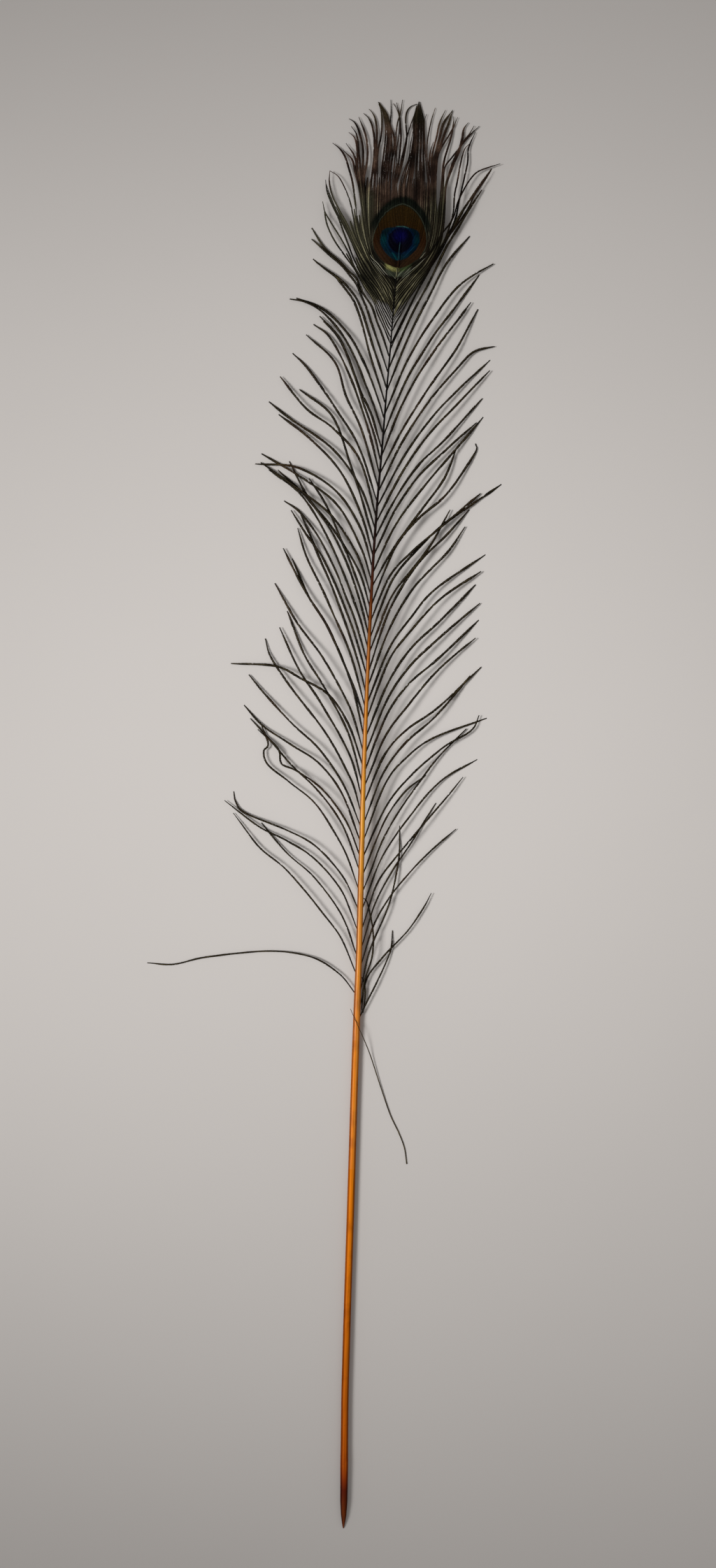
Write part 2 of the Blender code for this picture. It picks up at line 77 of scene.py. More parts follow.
# Loose barbs: the station where each leaves the shaft, then (X, station) along it.
leftBarbs = (
    (375.4, (-20.0, 388.0), (-40.0, 398.8), (-70.0, 401.5), (-112.0, 395.5), (-136.0, 389.3),
     (-154.2, 389.5)),
    (390.0, (-20.3, 413.8), (-40.0, 437.8), (-60.2, 459.3), (-80.0, 474.4), (-98.6, 497.0)),
    (403.0, (-20.3, 429.7), (-40.0, 454.3), (-60.2, 470.9), (-78.9, 490.7)),
    (420.5, (-20.3, 445.5), (-40.0, 467.0), (-60.2, 479.4), (-80.0, 488.0), (-105.2, 505.3)),
    (435.3, (-20.3, 456.1), (-40.0, 476.2), (-60.2, 486.4), (-90.0, 497.0), (-97.3, 504.5),
     (-99.1, 511.9)),
    (449.5, (-20.3, 474.8), (-40.0, 504.3), (-59.8, 519.8), (-75.3, 531.4), (-79.2, 540.6),
     (-76.4, 546.3), (-82.4, 561.4)),
    (463.0, (-22.0, 491.7), (-40.0, 514.9), (-60.2, 532.9), (-76.0, 549.8), (-89.8, 563.5)),
    (473.0, (-19.3, 494.3), (-36.0, 515.3), (-55.6, 528.3), (-66.2, 532.9), (-69.3, 543.1),
     (-84.0, 556.0)),
    (483.0, (-22.7, 512.7), (-40.0, 533.9), (-60.2, 546.3), (-80.0, 558.2), (-94.5, 572.6)),
    (493.0, (-22.7, 520.3), (-40.0, 543.4), (-60.2, 561.1), (-80.0, 580.8), (-91.9, 593.9)),
    (503.5, (-18.0, 525.0), (-35.1, 553.7), (-60.2, 584.0), (-76.7, 606.5), (-81.7, 619.7)),
    (515.0, (-19.0, 541.0), (-40.0, 575.2), (-57.0, 598.8), (-71.8, 628.1)),
    (524.5, (-20.3, 555.1), (-35.1, 581.9), (-53.5, 609.4), (-66.9, 639.6)),
    (536.0, (-20.3, 561.4), (-35.5, 581.9), (-54.9, 592.4), (-73.6, 600.6), (-104.7, 601.3)),
    (546.0, (-20.3, 573.4), (-40.0, 606.9), (-60.2, 632.5), (-76.5, 658.8)),
    (557.0, (-20.3, 591.7), (-36.9, 627.0), (-55.6, 655.1), (-71.6, 683.3)),
    (568.0, (-19.6, 591.0), (-38.0, 629.0), (-52.1, 649.4), (-65.0, 676.5)),
    (577.0, (-22.4, 612.9), (-41.5, 652.3), (-54.9, 677.7), (-62.1, 698.0)),
    (587.5, (-18.2, 612.2), (-34.4, 653.0), (-47.8, 681.2), (-60.3, 707.3)),
    (599.0, (-21.7, 631.1), (-40.8, 672.7), (-56.3, 693.9), (-67.2, 710.2)),
    (608.0, (-22.4, 642.4), (-42.9, 684.7), (-60.2, 708.0), (-72.3, 716.8)),
    (618.0, (-18.9, 643.8), (-38.0, 686.1), (-59.8, 720.0), (-84.3, 738.0)),
    (627.3, (-20.7, 660.0), (-37.0, 694.0), (-56.3, 720.0), (-70.0, 744.4)),
    (636.3, (-18.0, 660.0), (-33.7, 695.3), (-43.6, 715.7), (-55.7, 732.8)),
    (646.0, (-18.7, 670.0), (-38.7, 699.5), (-60.0, 722.5), (-78.0, 738.0)),
    (655.0, (-19.7, 680.0), (-37.2, 705.2), (-57.7, 721.4), (-89.9, 742.7)),
    (664.3, (-17.5, 685.4), (-33.5, 713.0), (-56.3, 730.5), (-89.8, 748.9)),
    (673.7, (-19.0, 700.5), (-37.2, 724.9), (-64.8, 740.1), (-93.7, 741.3)),
    (682.0, (-19.3, 711.0), (-34.3, 738.6), (-54.7, 759.3), (-79.1, 777.1)),
    (691.7, (-18.5, 720.0), (-27.2, 743.1), (-41.3, 777.0), (-65.3, 795.0)),
    (701.0, (-19.6, 727.5), (-39.9, 753.7), (-69.9, 773.4), (-86.3, 785.6)),
    (709.7, (-20.2, 745.2), (-39.2, 767.1), (-59.7, 781.2), (-79.1, 803.1)),
    (719.7, (-20.9, 753.7), (-39.9, 783.3), (-59.7, 809.4), (-71.1, 820.3)),
    (729.8, (-20.2, 767.1), (-32.2, 791.1), (-41.3, 815.1), (-62.1, 833.4)),
    (739.0, (-17.4, 772.7), (-30.1, 804.5), (-44.9, 831.3), (-57.4, 841.1)),
    (748.0, (-11.2, 762.9), (-15.5, 775.1), (-20.2, 786.8), (-24.0, 797.5), (-32.9, 819.3),
     (-40.6, 834.1), (-53.2, 846.6)),
    (756.5, (-9.8, 766.3), (-13.3, 777.0), (-17.6, 786.0), (-21.8, 793.8), (-26.6, 804.9),
     (-32.2, 818.5), (-40.0, 833.2), (-50.5, 843.6)),
    (767.1, (-9.8, 777.0), (-13.1, 786.0), (-19.6, 800.4), (-26.4, 816.0), (-36.4, 832.7),
     (-44.9, 843.3), (-54.7, 851.7), (-65.0, 856.5), (-74.5, 857.9)),
    (777.3, (-8.9, 786.8), (-14.5, 800.9), (-20.4, 813.7), (-28.3, 828.0), (-35.7, 837.6),
     (-44.9, 846.8), (-54.7, 853.5), (-70.3, 858.9)),
    (787.9, (-8.5, 797.0), (-12.8, 808.8), (-18.0, 824.0), (-22.2, 838.0), (-25.6, 848.0),
     (-29.5, 857.0), (-34.0, 863.5), (-40.0, 870.5), (-44.0, 875.0), (-57.5, 884.2)),
    (798.5, (-9.1, 810.7), (-13.3, 822.0), (-19.2, 838.0), (-22.7, 848.0), (-27.5, 858.5),
     (-31.5, 864.0), (-37.0, 870.0), (-44.0, 875.5), (-52.0, 880.8), (-59.6, 886.8)),
    (809.4, (-8.9, 822.0), (-13.5, 834.0), (-17.4, 844.0), (-20.3, 852.0), (-24.0, 860.0),
     (-28.2, 869.2), (-34.0, 876.2), (-40.0, 882.8), (-49.0, 890.5), (-61.0, 900.5)),
    (820.3, (-6.7, 828.5), (-9.6, 836.0), (-13.3, 844.0), (-17.1, 854.0), (-22.7, 862.0),
     (-25.4, 867.0), (-28.8, 874.0), (-34.0, 878.8), (-42.0, 886.5), (-52.0, 895.0),
     (-61.5, 908.3)),
)

rightBarbs = (
    (386.0, (-2.2, 381.7), (-1.1, 373.0), (-2.0, 361.0)),
    (441.3, (-1.9, 437.4), (2.6, 419.0), (2.7, 401.4), (-1.9, 383.1), (-3.3, 363.0)),
    (359.0, (-0.8, 366.2), (7.6, 385.2), (15.4, 405.0), (16.1, 419.4)),
    (368.0, (-0.1, 386.0), (10.0, 400.4), (26.7, 419.8), (36.9, 435.7), (42.2, 446.7)),
    (379.0, (0.9, 405.0), (12.9, 438.1), (18.2, 469.2), (17.9, 493.1)),
    (397.0, (2.7, 422.3), (15.0, 445.9), (34.8, 470.2), (57.4, 492.6)),
    (409.0, (2.7, 436.7), (14.0, 460.7), (26.7, 481.8), (42.5, 509.9)),
    (422.0, (3.4, 450.5), (15.0, 469.1), (35.1, 495.5), (60.9, 528.8)),
    (436.0, (6.6, 470.6), (25.0, 500.0), (45.0, 525.1), (70.2, 541.7)),
    (448.0, (6.9, 483.3), (20.0, 507.8), (42.2, 541.0), (61.8, 562.8)),
    (460.0, (6.9, 495.2), (20.0, 515.9), (34.5, 529.0)),
    (472.5, (7.6, 505.7), (24.6, 529.0), (46.4, 549.1), (65.1, 561.8), (70.3, 572.6)),
    (484.5, (6.6, 521.9), (20.0, 540.3), (40.1, 556.1), (75.7, 570.8)),
    (496.5, (5.0, 529.7), (20.0, 551.5), (40.8, 571.6), (62.8, 599.9)),
    (510.0, (5.0, 541.3), (20.0, 560.4), (40.1, 575.5), (70.3, 606.4)),
    (522.0, (5.0, 554.4), (20.0, 576.9), (40.1, 602.7), (65.3, 626.5)),
    (533.0, (5.0, 568.5), (20.0, 592.1), (40.1, 611.1), (67.2, 639.2)),
    (545.0, (5.0, 579.4), (20.0, 604.4), (40.1, 625.3), (67.3, 650.9)),
    (556.7, (5.0, 591.0), (20.0, 616.4), (40.1, 637.5), (63.7, 663.7)),
    (569.0, (5.0, 606.5), (20.0, 629.7), (39.4, 652.3), (67.0, 673.1)),
    (580.0, (5.0, 615.5), (20.0, 638.9), (35.1, 658.6), (69.7, 685.2)),
    (591.7, (5.0, 630.4), (20.0, 658.6), (42.2, 684.4), (54.7, 703.9)),
    (602.0, (3.7, 641.0), (21.0, 674.1), (40.1, 695.3), (57.0, 716.0)),
    (615.0, (4.7, 651.0), (18.2, 671.3), (30.9, 689.6), (43.6, 715.2)),
    (625.0, (5.0, 663.0), (25.3, 690.4), (45.0, 709.0), (78.7, 734.8)),
    (637.0, (3.7, 667.0), (20.0, 686.1), (39.4, 704.1), (64.4, 727.7)),
    (648.0, (6.2, 686.1), (21.7, 707.6), (40.1, 725.3), (59.1, 755.1), (59.6, 762.4)),
    (660.7, (5.0, 685.4), (23.9, 714.3), (38.7, 736.9), (46.4, 758.6)),
    (670.3, (5.0, 700.2), (20.0, 723.8), (40.1, 750.2), (64.0, 781.2)),
    (682.7, (5.0, 712.2), (20.0, 736.5), (40.1, 757.9), (59.7, 777.0)),
    (694.0, (5.0, 720.7), (20.3, 745.2), (40.1, 766.4), (62.8, 794.5)),
    (705.0, (8.3, 737.6), (25.3, 765.0), (45.0, 788.3), (67.3, 813.8)),
    (716.0, (9.0, 749.0), (25.3, 774.9), (45.0, 798.8), (67.2, 821.4)),
    (727.0, (7.6, 759.3), (25.3, 789.7), (45.0, 815.1), (56.0, 826.5), (69.9, 831.3)),
    (739.5, (7.6, 768.5), (25.3, 799.5), (44.3, 829.9), (56.9, 856.5)),
    (752.0, (7.6, 788.3), (25.3, 821.4), (52.1, 860.7)),
    (766.0, (7.6, 800.2), (25.3, 833.4), (45.7, 863.7), (57.0, 880.5)),
    (781.5, (10.1, 819.3), (26.7, 848.9), (40.5, 869.0), (53.5, 880.0), (66.4, 888.6)),
    (797.8, (9.0, 832.7), (22.4, 863.0), (34.0, 887.5), (49.0, 907.3)),
    (812.9, (10.5, 848.9), (23.1, 875.0), (33.5, 899.0), (46.0, 922.0), (56.2, 939.8)),
    (826.3, (7.6, 851.7), (20.0, 878.0), (33.0, 905.0), (45.5, 928.0), (62.4, 955.3)),
)

# Close-set barbs from the last loose one to the middle of the eye, outer ones first: where
# each leaves the shaft, how far its barbules stand out in the fringe, then its course.
leftCloseBarbs = (
    (829.2, 0.55, (-4.8, 832.5), (-8.2, 840.0), (-13.2, 850.0), (-15.4, 856.0), (-18.8, 862.0),
     (-22.2, 866.5), (-27.0, 874.5), (-32.5, 882.5), (-39.0, 891.0), (-45.5, 900.0),
     (-50.5, 910.0), (-53.0, 919.5), (-54.8, 926.5)),
    (837.6, 0.5, (-5.5, 841.0), (-7.9, 846.0), (-11.0, 852.0), (-14.0, 858.0), (-18.0, 864.0),
     (-22.2, 870.0), (-27.0, 876.5), (-30.8, 882.5), (-35.0, 891.0), (-41.0, 901.0),
     (-47.5, 910.5), (-52.6, 919.0), (-54.2, 925.0)),
    (843.0, 0.6, (-5.6, 848.0), (-9.3, 854.0), (-12.5, 860.0), (-15.1, 864.0), (-19.2, 869.4),
     (-22.8, 872.8), (-26.0, 877.4), (-29.6, 884.0), (-34.0, 893.5), (-39.0, 905.5),
     (-43.0, 915.5), (-48.0, 925.0), (-52.0, 934.5), (-53.3, 941.7)),
    (848.0, 0.4, (-5.8, 854.0), (-8.7, 860.0), (-12.5, 866.0), (-16.0, 870.2), (-20.0, 874.8),
     (-23.8, 880.0), (-27.0, 886.0), (-32.0, 896.0), (-36.0, 904.0), (-41.0, 913.0),
     (-46.0, 923.0), (-50.0, 932.0), (-52.6, 939.0)),
    (852.5, 0.55, (-5.2, 857.5), (-8.0, 862.0), (-10.2, 866.0), (-12.1, 870.0), (-15.0, 874.0),
     (-18.0, 878.2), (-20.4, 882.8), (-24.2, 888.0), (-29.0, 896.0), (-33.5, 904.0),
     (-37.5, 912.5), (-43.0, 921.5), (-48.0, 930.5), (-50.5, 940.0), (-50.5, 948.3)),
    (857.0, 0.4, (-5.2, 862.0), (-7.6, 868.0), (-11.0, 872.0), (-14.0, 876.0), (-17.2, 880.0),
     (-20.5, 885.0), (-25.0, 893.5), (-29.5, 904.0), (-32.5, 915.0), (-35.5, 927.0),
     (-39.5, 936.5), (-44.5, 944.5), (-50.7, 948.3)),
    (861.0, 0.7, (-4.2, 865.6), (-7.0, 870.0), (-10.2, 874.0), (-13.2, 878.0), (-16.0, 882.0),
     (-19.8, 888.0), (-24.5, 898.5), (-29.0, 910.5), (-31.5, 925.0), (-34.0, 940.0),
     (-37.0, 949.5), (-40.5, 959.0), (-44.5, 964.5), (-49.5, 968.2)),
    (863.6, 0.68, (-4.0, 868.0), (-6.8, 872.0), (-9.8, 876.0), (-12.8, 880.0), (-15.8, 884.0),
     (-19.8, 890.0), (-24.0, 904.0), (-27.0, 920.0), (-30.0, 937.0), (-33.0, 948.0),
     (-35.5, 957.0), (-42.0, 963.2)),
    (866.2, 0.66, (-4.0, 870.0), (-6.6, 874.0), (-9.6, 878.0), (-12.6, 882.0), (-16.0, 885.6),
     (-19.2, 889.5), (-23.5, 906.0), (-26.5, 922.0), (-29.5, 940.0), (-31.5, 951.0),
     (-34.0, 960.0), (-40.0, 968.3)),
    (868.0, 0.74, (-5.0, 872.8), (-9.0, 878.0), (-12.6, 882.6), (-16.4, 886.6), (-19.5, 891.5),
     (-23.5, 908.0), (-26.0, 924.0), (-29.5, 940.0), (-31.5, 951.0), (-32.0, 963.0),
     (-34.0, 972.0), (-38.5, 976.2)),
    (869.4, 0.66, (-6.5, 875.2), (-13.0, 883.4), (-18.8, 891.5), (-23.0, 908.0), (-25.5, 925.0),
     (-28.5, 943.0), (-31.0, 964.0), (-33.0, 974.5), (-37.3, 980.5)),
    (870.8, 0.74, (-6.0, 875.8), (-12.5, 883.8), (-18.6, 892.5), (-22.5, 908.0), (-25.0, 925.0),
     (-27.5, 943.0), (-27.8, 963.0), (-31.0, 976.0), (-34.5, 983.0), (-38.8, 985.8)),
    (872.5, 0.72, (-6.2, 877.4), (-12.6, 884.4), (-18.5, 892.5), (-21.2, 901.0), (-23.3, 912.0),
     (-25.2, 925.0), (-26.3, 942.0), (-24.7, 957.0), (-25.0, 966.0), (-27.0, 975.5),
     (-32.0, 987.2)),
    (875.0, 0.65, (-6.5, 879.5), (-13.0, 885.0), (-18.8, 893.5), (-20.3, 903.0),
     (-21.5, 918.0), (-22.0, 932.0), (-21.8, 941.0), (-20.9, 950.0), (-20.2, 958.0),
     (-20.3, 967.0), (-20.8, 974.0), (-22.6, 982.0), (-25.0, 986.7), (-28.7, 990.0)),
    (877.0, 0.45, (-6.2, 881.5), (-12.8, 887.5), (-17.9, 896.0), (-19.6, 907.0),
     (-20.4, 922.0), (-20.9, 938.0), (-19.9, 952.0), (-19.6, 964.0), (-20.3, 973.5),
     (-22.0, 979.5), (-25.2, 986.0)),
    (879.0, 0.7, (-6.0, 883.5), (-12.5, 890.5), (-17.0, 899.0), (-18.7, 910.0),
     (-19.3, 925.0), (-19.6, 940.0), (-19.1, 957.0), (-18.8, 970.0), (-18.8, 977.5),
     (-20.4, 986.0), (-22.5, 990.2), (-25.2, 993.0)),
    (880.6, 0.5, (-5.8, 885.2), (-12.0, 892.7), (-16.2, 902.0), (-17.7, 914.0),
     (-18.1, 929.0), (-18.2, 944.0), (-18.0, 957.0), (-18.3, 968.0), (-18.4, 979.0)),
    (882.5, 0.6, (-5.4, 887.3), (-11.4, 895.2), (-15.4, 905.0), (-16.7, 918.0),
     (-17.1, 932.0), (-17.2, 945.0), (-17.6, 956.0), (-17.3, 965.0), (-16.1, 972.0),
     (-15.6, 979.0), (-15.9, 988.0), (-17.0, 993.5), (-18.5, 997.0)),
    (886.0, 0.6, (-4.8, 891.0), (-10.3, 899.5), (-13.2, 910.0), (-14.0, 922.0),
     (-14.2, 935.0), (-14.3, 948.0), (-13.6, 960.0), (-12.9, 970.0), (-12.8, 980.0),
     (-13.9, 987.0), (-15.5, 992.0), (-18.8, 998.3)),
    (888.0, 0.6, (-4.4, 893.0), (-9.6, 901.5), (-12.0, 912.0), (-12.7, 924.0),
     (-12.9, 938.0), (-12.6, 951.0), (-11.9, 963.0), (-11.3, 973.0), (-11.7, 982.0),
     (-13.3, 989.0), (-16.0, 994.6), (-18.7, 998.3)),
    (890.0, 0.7, (-4.0, 895.0), (-8.8, 903.5), (-10.8, 913.5), (-11.4, 926.0),
     (-11.6, 940.0), (-11.2, 953.0), (-10.5, 966.0), (-10.5, 977.0), (-11.8, 985.5),
     (-14.0, 991.5), (-18.5, 998.5)),
    (892.0, 0.7, (-3.6, 897.0), (-7.9, 905.0), (-9.6, 915.0), (-10.1, 928.0),
     (-10.2, 942.0), (-9.6, 956.0), (-8.6, 967.0), (-9.0, 977.0), (-11.0, 985.0),
     (-13.8, 992.0), (-18.0, 997.8)),
    (894.0, 0.72, (-3.0, 899.0), (-6.9, 907.0), (-8.4, 917.0), (-8.9, 930.0),
     (-8.9, 943.0), (-8.0, 955.0), (-6.7, 963.0), (-6.1, 970.0), (-6.9, 975.5),
     (-8.7, 979.5), (-10.6, 984.5), (-12.8, 990.5), (-18.3, 998.0)),
    (897.0, 0.4, (-2.0, 901.5), (-5.3, 909.5), (-6.8, 920.0), (-7.5, 933.0),
     (-7.8, 945.0), (-7.6, 957.0), (-7.8, 968.0), (-9.0, 977.0), (-9.8, 983.0),
     (-9.5, 990.0), (-9.7, 995.0), (-10.1, 1000.3)),
    (899.0, 0.45, (-1.3, 903.5), (-4.2, 911.0), (-5.5, 921.0), (-6.1, 933.0),
     (-6.4, 944.0), (-5.8, 952.0), (-5.4, 960.0), (-5.3, 967.0), (-5.5, 975.0),
     (-5.2, 980.5), (-4.7, 985.0), (-3.6, 989.0), (-2.8, 993.0), (-2.0, 1000.6)),
    (901.0, 0.6, (-0.6, 904.5), (-3.2, 911.5), (-4.4, 921.0), (-5.0, 933.0),
     (-4.5, 943.0), (-3.2, 951.0), (-2.5, 959.0), (-1.9, 967.0), (-1.8, 974.0),
     (-2.5, 981.5), (-3.3, 988.0), (-4.6, 993.5), (-6.0, 998.3)),
    (902.0, 0.35, (-0.3, 905.5), (-2.6, 912.5), (-3.9, 922.0), (-4.9, 936.0),
     (-4.4, 947.0), (-3.9, 956.0), (-4.6, 965.0), (-3.4, 974.0), (-3.1, 982.0),
     (-3.8, 989.0), (-5.9, 994.5), (-8.3, 997.8)),
    (903.5, 0.7, (0.1, 908.5), (-1.5, 917.0), (-3.2, 927.0), (-4.3, 936.5), (-3.6, 943.0),
     (-2.3, 949.5), (-1.1, 955.5), (0.1, 962.0), (1.2, 968.0), (1.7, 974.0)),
    (904.5, 0.55, (0.4, 911.0), (-0.8, 920.0), (-2.6, 929.0), (-3.5, 938.0), (-2.8, 944.0),
     (-1.4, 951.0), (-0.1, 957.0), (1.0, 963.0), (1.9, 969.0), (2.2, 975.0), (1.5, 981.0),
     (0.9, 986.0), (1.0, 990.0), (1.9, 993.3), (3.7, 995.7), (6.0, 997.2), (8.5, 998.0)),
    (905.0, 0.4, (0.7, 911.5), (-0.3, 920.0), (-2.3, 929.0), (-3.2, 938.0), (-2.4, 944.5),
     (-1.0, 951.5), (0.3, 957.5), (1.3, 963.5), (2.0, 969.0), (2.4, 974.0), (3.2, 977.5),
     (5.0, 984.0), (6.7, 990.0), (8.0, 997.0)),
)
rightCloseBarbs = (
    (838.0, 0.6, (0.3, 843.6), (3.4, 849.5), (6.4, 856.0), (9.2, 862.0), (14.6, 870.5),
     (19.5, 877.8), (25.0, 887.0), (32.0, 900.0), (38.0, 912.0), (43.0, 922.0), (46.0, 930.0)),
    (843.5, 0.55, (0.1, 847.0), (2.2, 850.0), (4.6, 853.2), (8.0, 859.5), (12.0, 866.0),
     (17.2, 874.4), (23.0, 883.0), (30.5, 896.5), (35.5, 909.0), (39.0, 920.0), (40.5, 930.0),
     (41.5, 936.0), (43.5, 948.0), (45.5, 959.0), (45.8, 969.0), (50.0, 980.0)),
    (847.5, 0.55, (-0.1, 850.5), (2.5, 855.6), (5.1, 860.4), (7.9, 865.1), (10.4, 868.8),
     (13.8, 874.6), (17.6, 879.1), (21.5, 884.0), (25.5, 890.5), (29.5, 897.5), (34.0, 910.0),
     (36.8, 922.0), (37.2, 935.0), (38.8, 945.0), (41.0, 960.0), (43.0, 968.0), (46.0, 971.5)),
    (853.0, 0.9, (0.9, 858.0), (3.5, 862.1), (6.2, 866.0), (9.2, 870.0), (12.3, 874.0),
     (16.0, 878.5), (21.0, 884.5), (27.5, 897.0), (30.5, 910.0), (31.0, 925.0), (31.5, 940.0),
     (33.2, 949.0), (36.0, 958.0), (39.0, 966.0), (41.0, 975.0), (42.0, 982.0), (45.0, 986.5)),
    (857.0, 0.55, (0.7, 860.5), (2.3, 863.0), (5.0, 866.6), (8.0, 870.4), (11.5, 874.9),
     (15.5, 879.7), (20.0, 885.6), (26.5, 898.5), (29.2, 912.0), (30.0, 925.0), (30.8, 940.0),
     (33.5, 953.5), (37.5, 964.5), (43.0, 974.5), (45.5, 978.0), (48.9, 984.5)),
    (859.5, 0.55, (1.0, 863.4), (4.0, 867.4), (6.6, 870.8), (9.6, 874.8), (13.5, 879.8),
     (19.0, 886.8), (25.5, 900.0), (28.0, 915.0), (28.5, 930.0), (29.0, 945.0), (30.0, 954.5),
     (33.5, 960.0), (38.5, 967.5), (45.0, 976.5), (52.7, 984.5)),
    (862.0, 0.65, (2.0, 866.4), (4.4, 869.6), (6.5, 872.0), (8.7, 875.2), (11.2, 878.0),
     (14.4, 881.4), (19.0, 887.8), (24.5, 901.0), (26.8, 916.0), (27.3, 932.0), (28.2, 948.0),
     (29.2, 959.0), (33.2, 976.0), (34.5, 986.0), (34.4, 990.5)),
    (864.4, 0.55, (2.2, 868.6), (5.0, 872.4), (8.0, 875.9), (11.0, 879.2), (14.5, 882.9),
     (19.0, 889.2), (23.3, 903.0), (24.2, 918.0), (24.2, 935.0), (23.8, 950.0), (25.0, 964.0),
     (31.0, 976.0), (34.5, 983.0), (37.1, 990.0)),
    (866.4, 0.9, (1.0, 868.9), (3.1, 871.4), (5.5, 874.4), (8.2, 877.2), (11.6, 880.5),
     (15.2, 884.6), (19.2, 890.6), (22.6, 904.0), (23.6, 918.0), (23.6, 935.0), (22.9, 950.0),
     (24.0, 962.0), (28.3, 977.0), (31.2, 986.0), (33.5, 995.0)),
    (868.8, 0.9, (1.2, 871.4), (3.5, 874.0), (6.5, 876.9), (9.9, 880.2), (13.6, 884.4),
     (19.0, 892.0), (22.0, 905.0), (23.0, 918.0), (22.8, 935.0), (21.9, 950.0), (22.5, 962.0),
     (25.2, 976.0), (27.5, 985.5), (33.5, 995.0)),
    (871.5, 0.6, (2.3, 874.9), (4.4, 876.9), (8.7, 881.0), (12.9, 884.9), (17.2, 890.0),
     (18.9, 894.0), (21.3, 904.0), (22.2, 918.0), (21.8, 935.0), (20.6, 948.0), (19.9, 956.0),
     (20.5, 964.0), (23.0, 975.0), (24.8, 985.5), (28.5, 994.7)),
    (877.0, 0.4, (5.0, 883.0), (12.5, 889.5), (17.8, 897.0), (20.0, 907.0), (20.6, 920.0),
     (20.2, 935.0), (18.9, 949.0), (16.6, 963.0), (16.8, 974.0), (18.6, 986.0),
     (21.3, 996.0)),
    (879.0, 0.6, (5.2, 884.8), (12.3, 891.3), (17.2, 899.0), (19.1, 909.5), (19.6, 922.0),
     (19.3, 937.0), (18.6, 950.0), (18.3, 958.0), (19.3, 966.0), (20.9, 972.0)),
    (881.0, 0.45, (5.5, 886.5), (12.0, 893.0), (16.5, 901.0), (18.2, 912.0), (18.5, 925.0),
     (18.3, 940.0), (17.2, 951.0), (15.8, 961.0), (15.0, 970.0), (14.3, 979.0),
     (14.2, 986.0), (15.5, 991.3)),
    (885.0, 0.7, (5.0, 890.5), (11.0, 897.5), (14.5, 907.0), (15.7, 920.0), (15.8, 935.0),
     (15.2, 949.0), (14.3, 962.0), (14.0, 975.0), (13.4, 985.0), (12.2, 992.0),
     (10.2, 999.4)),
    (890.0, 0.8, (5.0, 896.0), (9.8, 904.0), (12.3, 914.0), (13.0, 926.0), (12.8, 940.0),
     (12.3, 955.0), (12.2, 970.0), (11.9, 983.0), (10.9, 992.0), (9.9, 999.8)),
    (895.0, 0.8, (4.5, 901.0), (8.0, 909.0), (9.7, 920.0), (10.0, 935.0), (9.9, 950.0),
     (10.1, 965.0), (10.3, 980.0), (9.8, 991.0), (9.5, 999.7)),
    (899.0, 0.8, (3.8, 905.5), (6.0, 914.0), (6.8, 925.0), (6.8, 940.0), (7.7, 955.0),
     (8.4, 968.0), (8.7, 981.0), (8.8, 991.0), (9.6, 999.3)),
    (902.0, 0.7, (2.9, 909.0), (4.0, 918.0), (4.0, 930.0), (4.2, 942.0), (6.0, 956.0),
     (7.1, 968.0), (7.5, 980.0), (7.9, 991.0), (9.4, 998.8)),
    (904.5, 0.5, (2.0, 912.0), (1.6, 920.0), (0.7, 930.0), (0.6, 940.0), (2.4, 950.0),
     (4.2, 957.0), (5.6, 963.0), (6.3, 969.0), (6.9, 976.0), (6.4, 984.0), (7.2, 991.0),
     (8.6, 997.0)),
    (905.0, 0.4, (1.4, 912.0), (0.6, 921.0), (-1.2, 930.0), (-1.7, 938.0), (-0.4, 945.0),
     (1.7, 952.0), (3.6, 957.0), (4.7, 962.0), (5.1, 968.0), (5.6, 973.0), (6.2, 978.5)),
)
# Barbs of the right side that cross over the others.
crossingBarbs = (
    (871.0, 0.5, (3.0, 877.5), (10.0, 884.5), (18.0, 890.0), (24.0, 897.0), (29.5, 907.0),
     (34.0, 913.0), (37.5, 920.0), (39.5, 929.0), (42.5, 936.5), (46.5, 944.5),
     (52.0, 951.5), (60.0, 955.5), (68.3, 958.7)),
    (829.0, 0.55, (5.0, 846.0), (12.5, 862.0), (19.5, 878.0), (26.5, 893.0), (33.5, 904.5),
     (39.0, 912.5), (44.0, 920.0), (47.8, 927.0), (51.0, 935.0), (56.0, 943.5),
     (59.0, 948.0), (62.2, 953.5)),
)

# The thin loose barb that lies across the shaft: X, station, height.
strayLine = (
    (-10.8, 363.8, 5.0),
    (-8.4, 358.8, 5.3),
    (-4.2, 350.4, 5.35),
    (0.0, 341.9, 4.1),
    (5.0, 330.3, 1.9),
    (12.0, 311.5, 0.9),
    (20.0, 291.0, 0.55),
    (26.5, 278.5, 0.5),
    (31.0, 268.0, 0.45),
    (33.2, 256.5, 0.45),
)


def smoothStep(start, end, value):
    part = np.clip((np.asarray(value, float) - start) / (end - start), 0.0, 1.0)
    return part * part * (3.0 - 2.0 * part)


# How the shaft arches off the surface over its barbs and comes down again towards the eye.
shaftForm = {
    "heightToWidth": 0.94, "riseFrom": 330.0, "riseTo": 550.0, "crestLift": 8.5,
    "fallFrom": 590.0, "fallTo": 900.0, "eyeLift": 4.6, "smoothing": 8.0,
}


# Centre X, centre height and width of the shaft in millimetres.
def shaftAt(station):
    form = shaftForm
    stations, middles, widths = np.array(shaftLine).T
    shifts = (-form["smoothing"], 0.0, form["smoothing"])
    x = sum(np.interp(station + shift, stations, middles) for shift in shifts) / 3.0
    width = np.interp(station, stations, widths)
    lift = form["crestLift"] * smoothStep(form["riseFrom"], form["riseTo"], station)
    fall = smoothStep(form["fallFrom"], form["fallTo"], station)
    lift = lift - (form["crestLift"] - form["eyeLift"]) * fall
    return x, lift + width * form["heightToWidth"] / 2.0, width


# X of the shaft's middle over the frame's origin.
originX = float(np.interp(originStation, *np.array(shaftLine).T[:2]))


def toFrame(points):
    shift = np.array((originX, originStation, 0.0))
    return (np.asarray(points, float) - shift) * millimetre


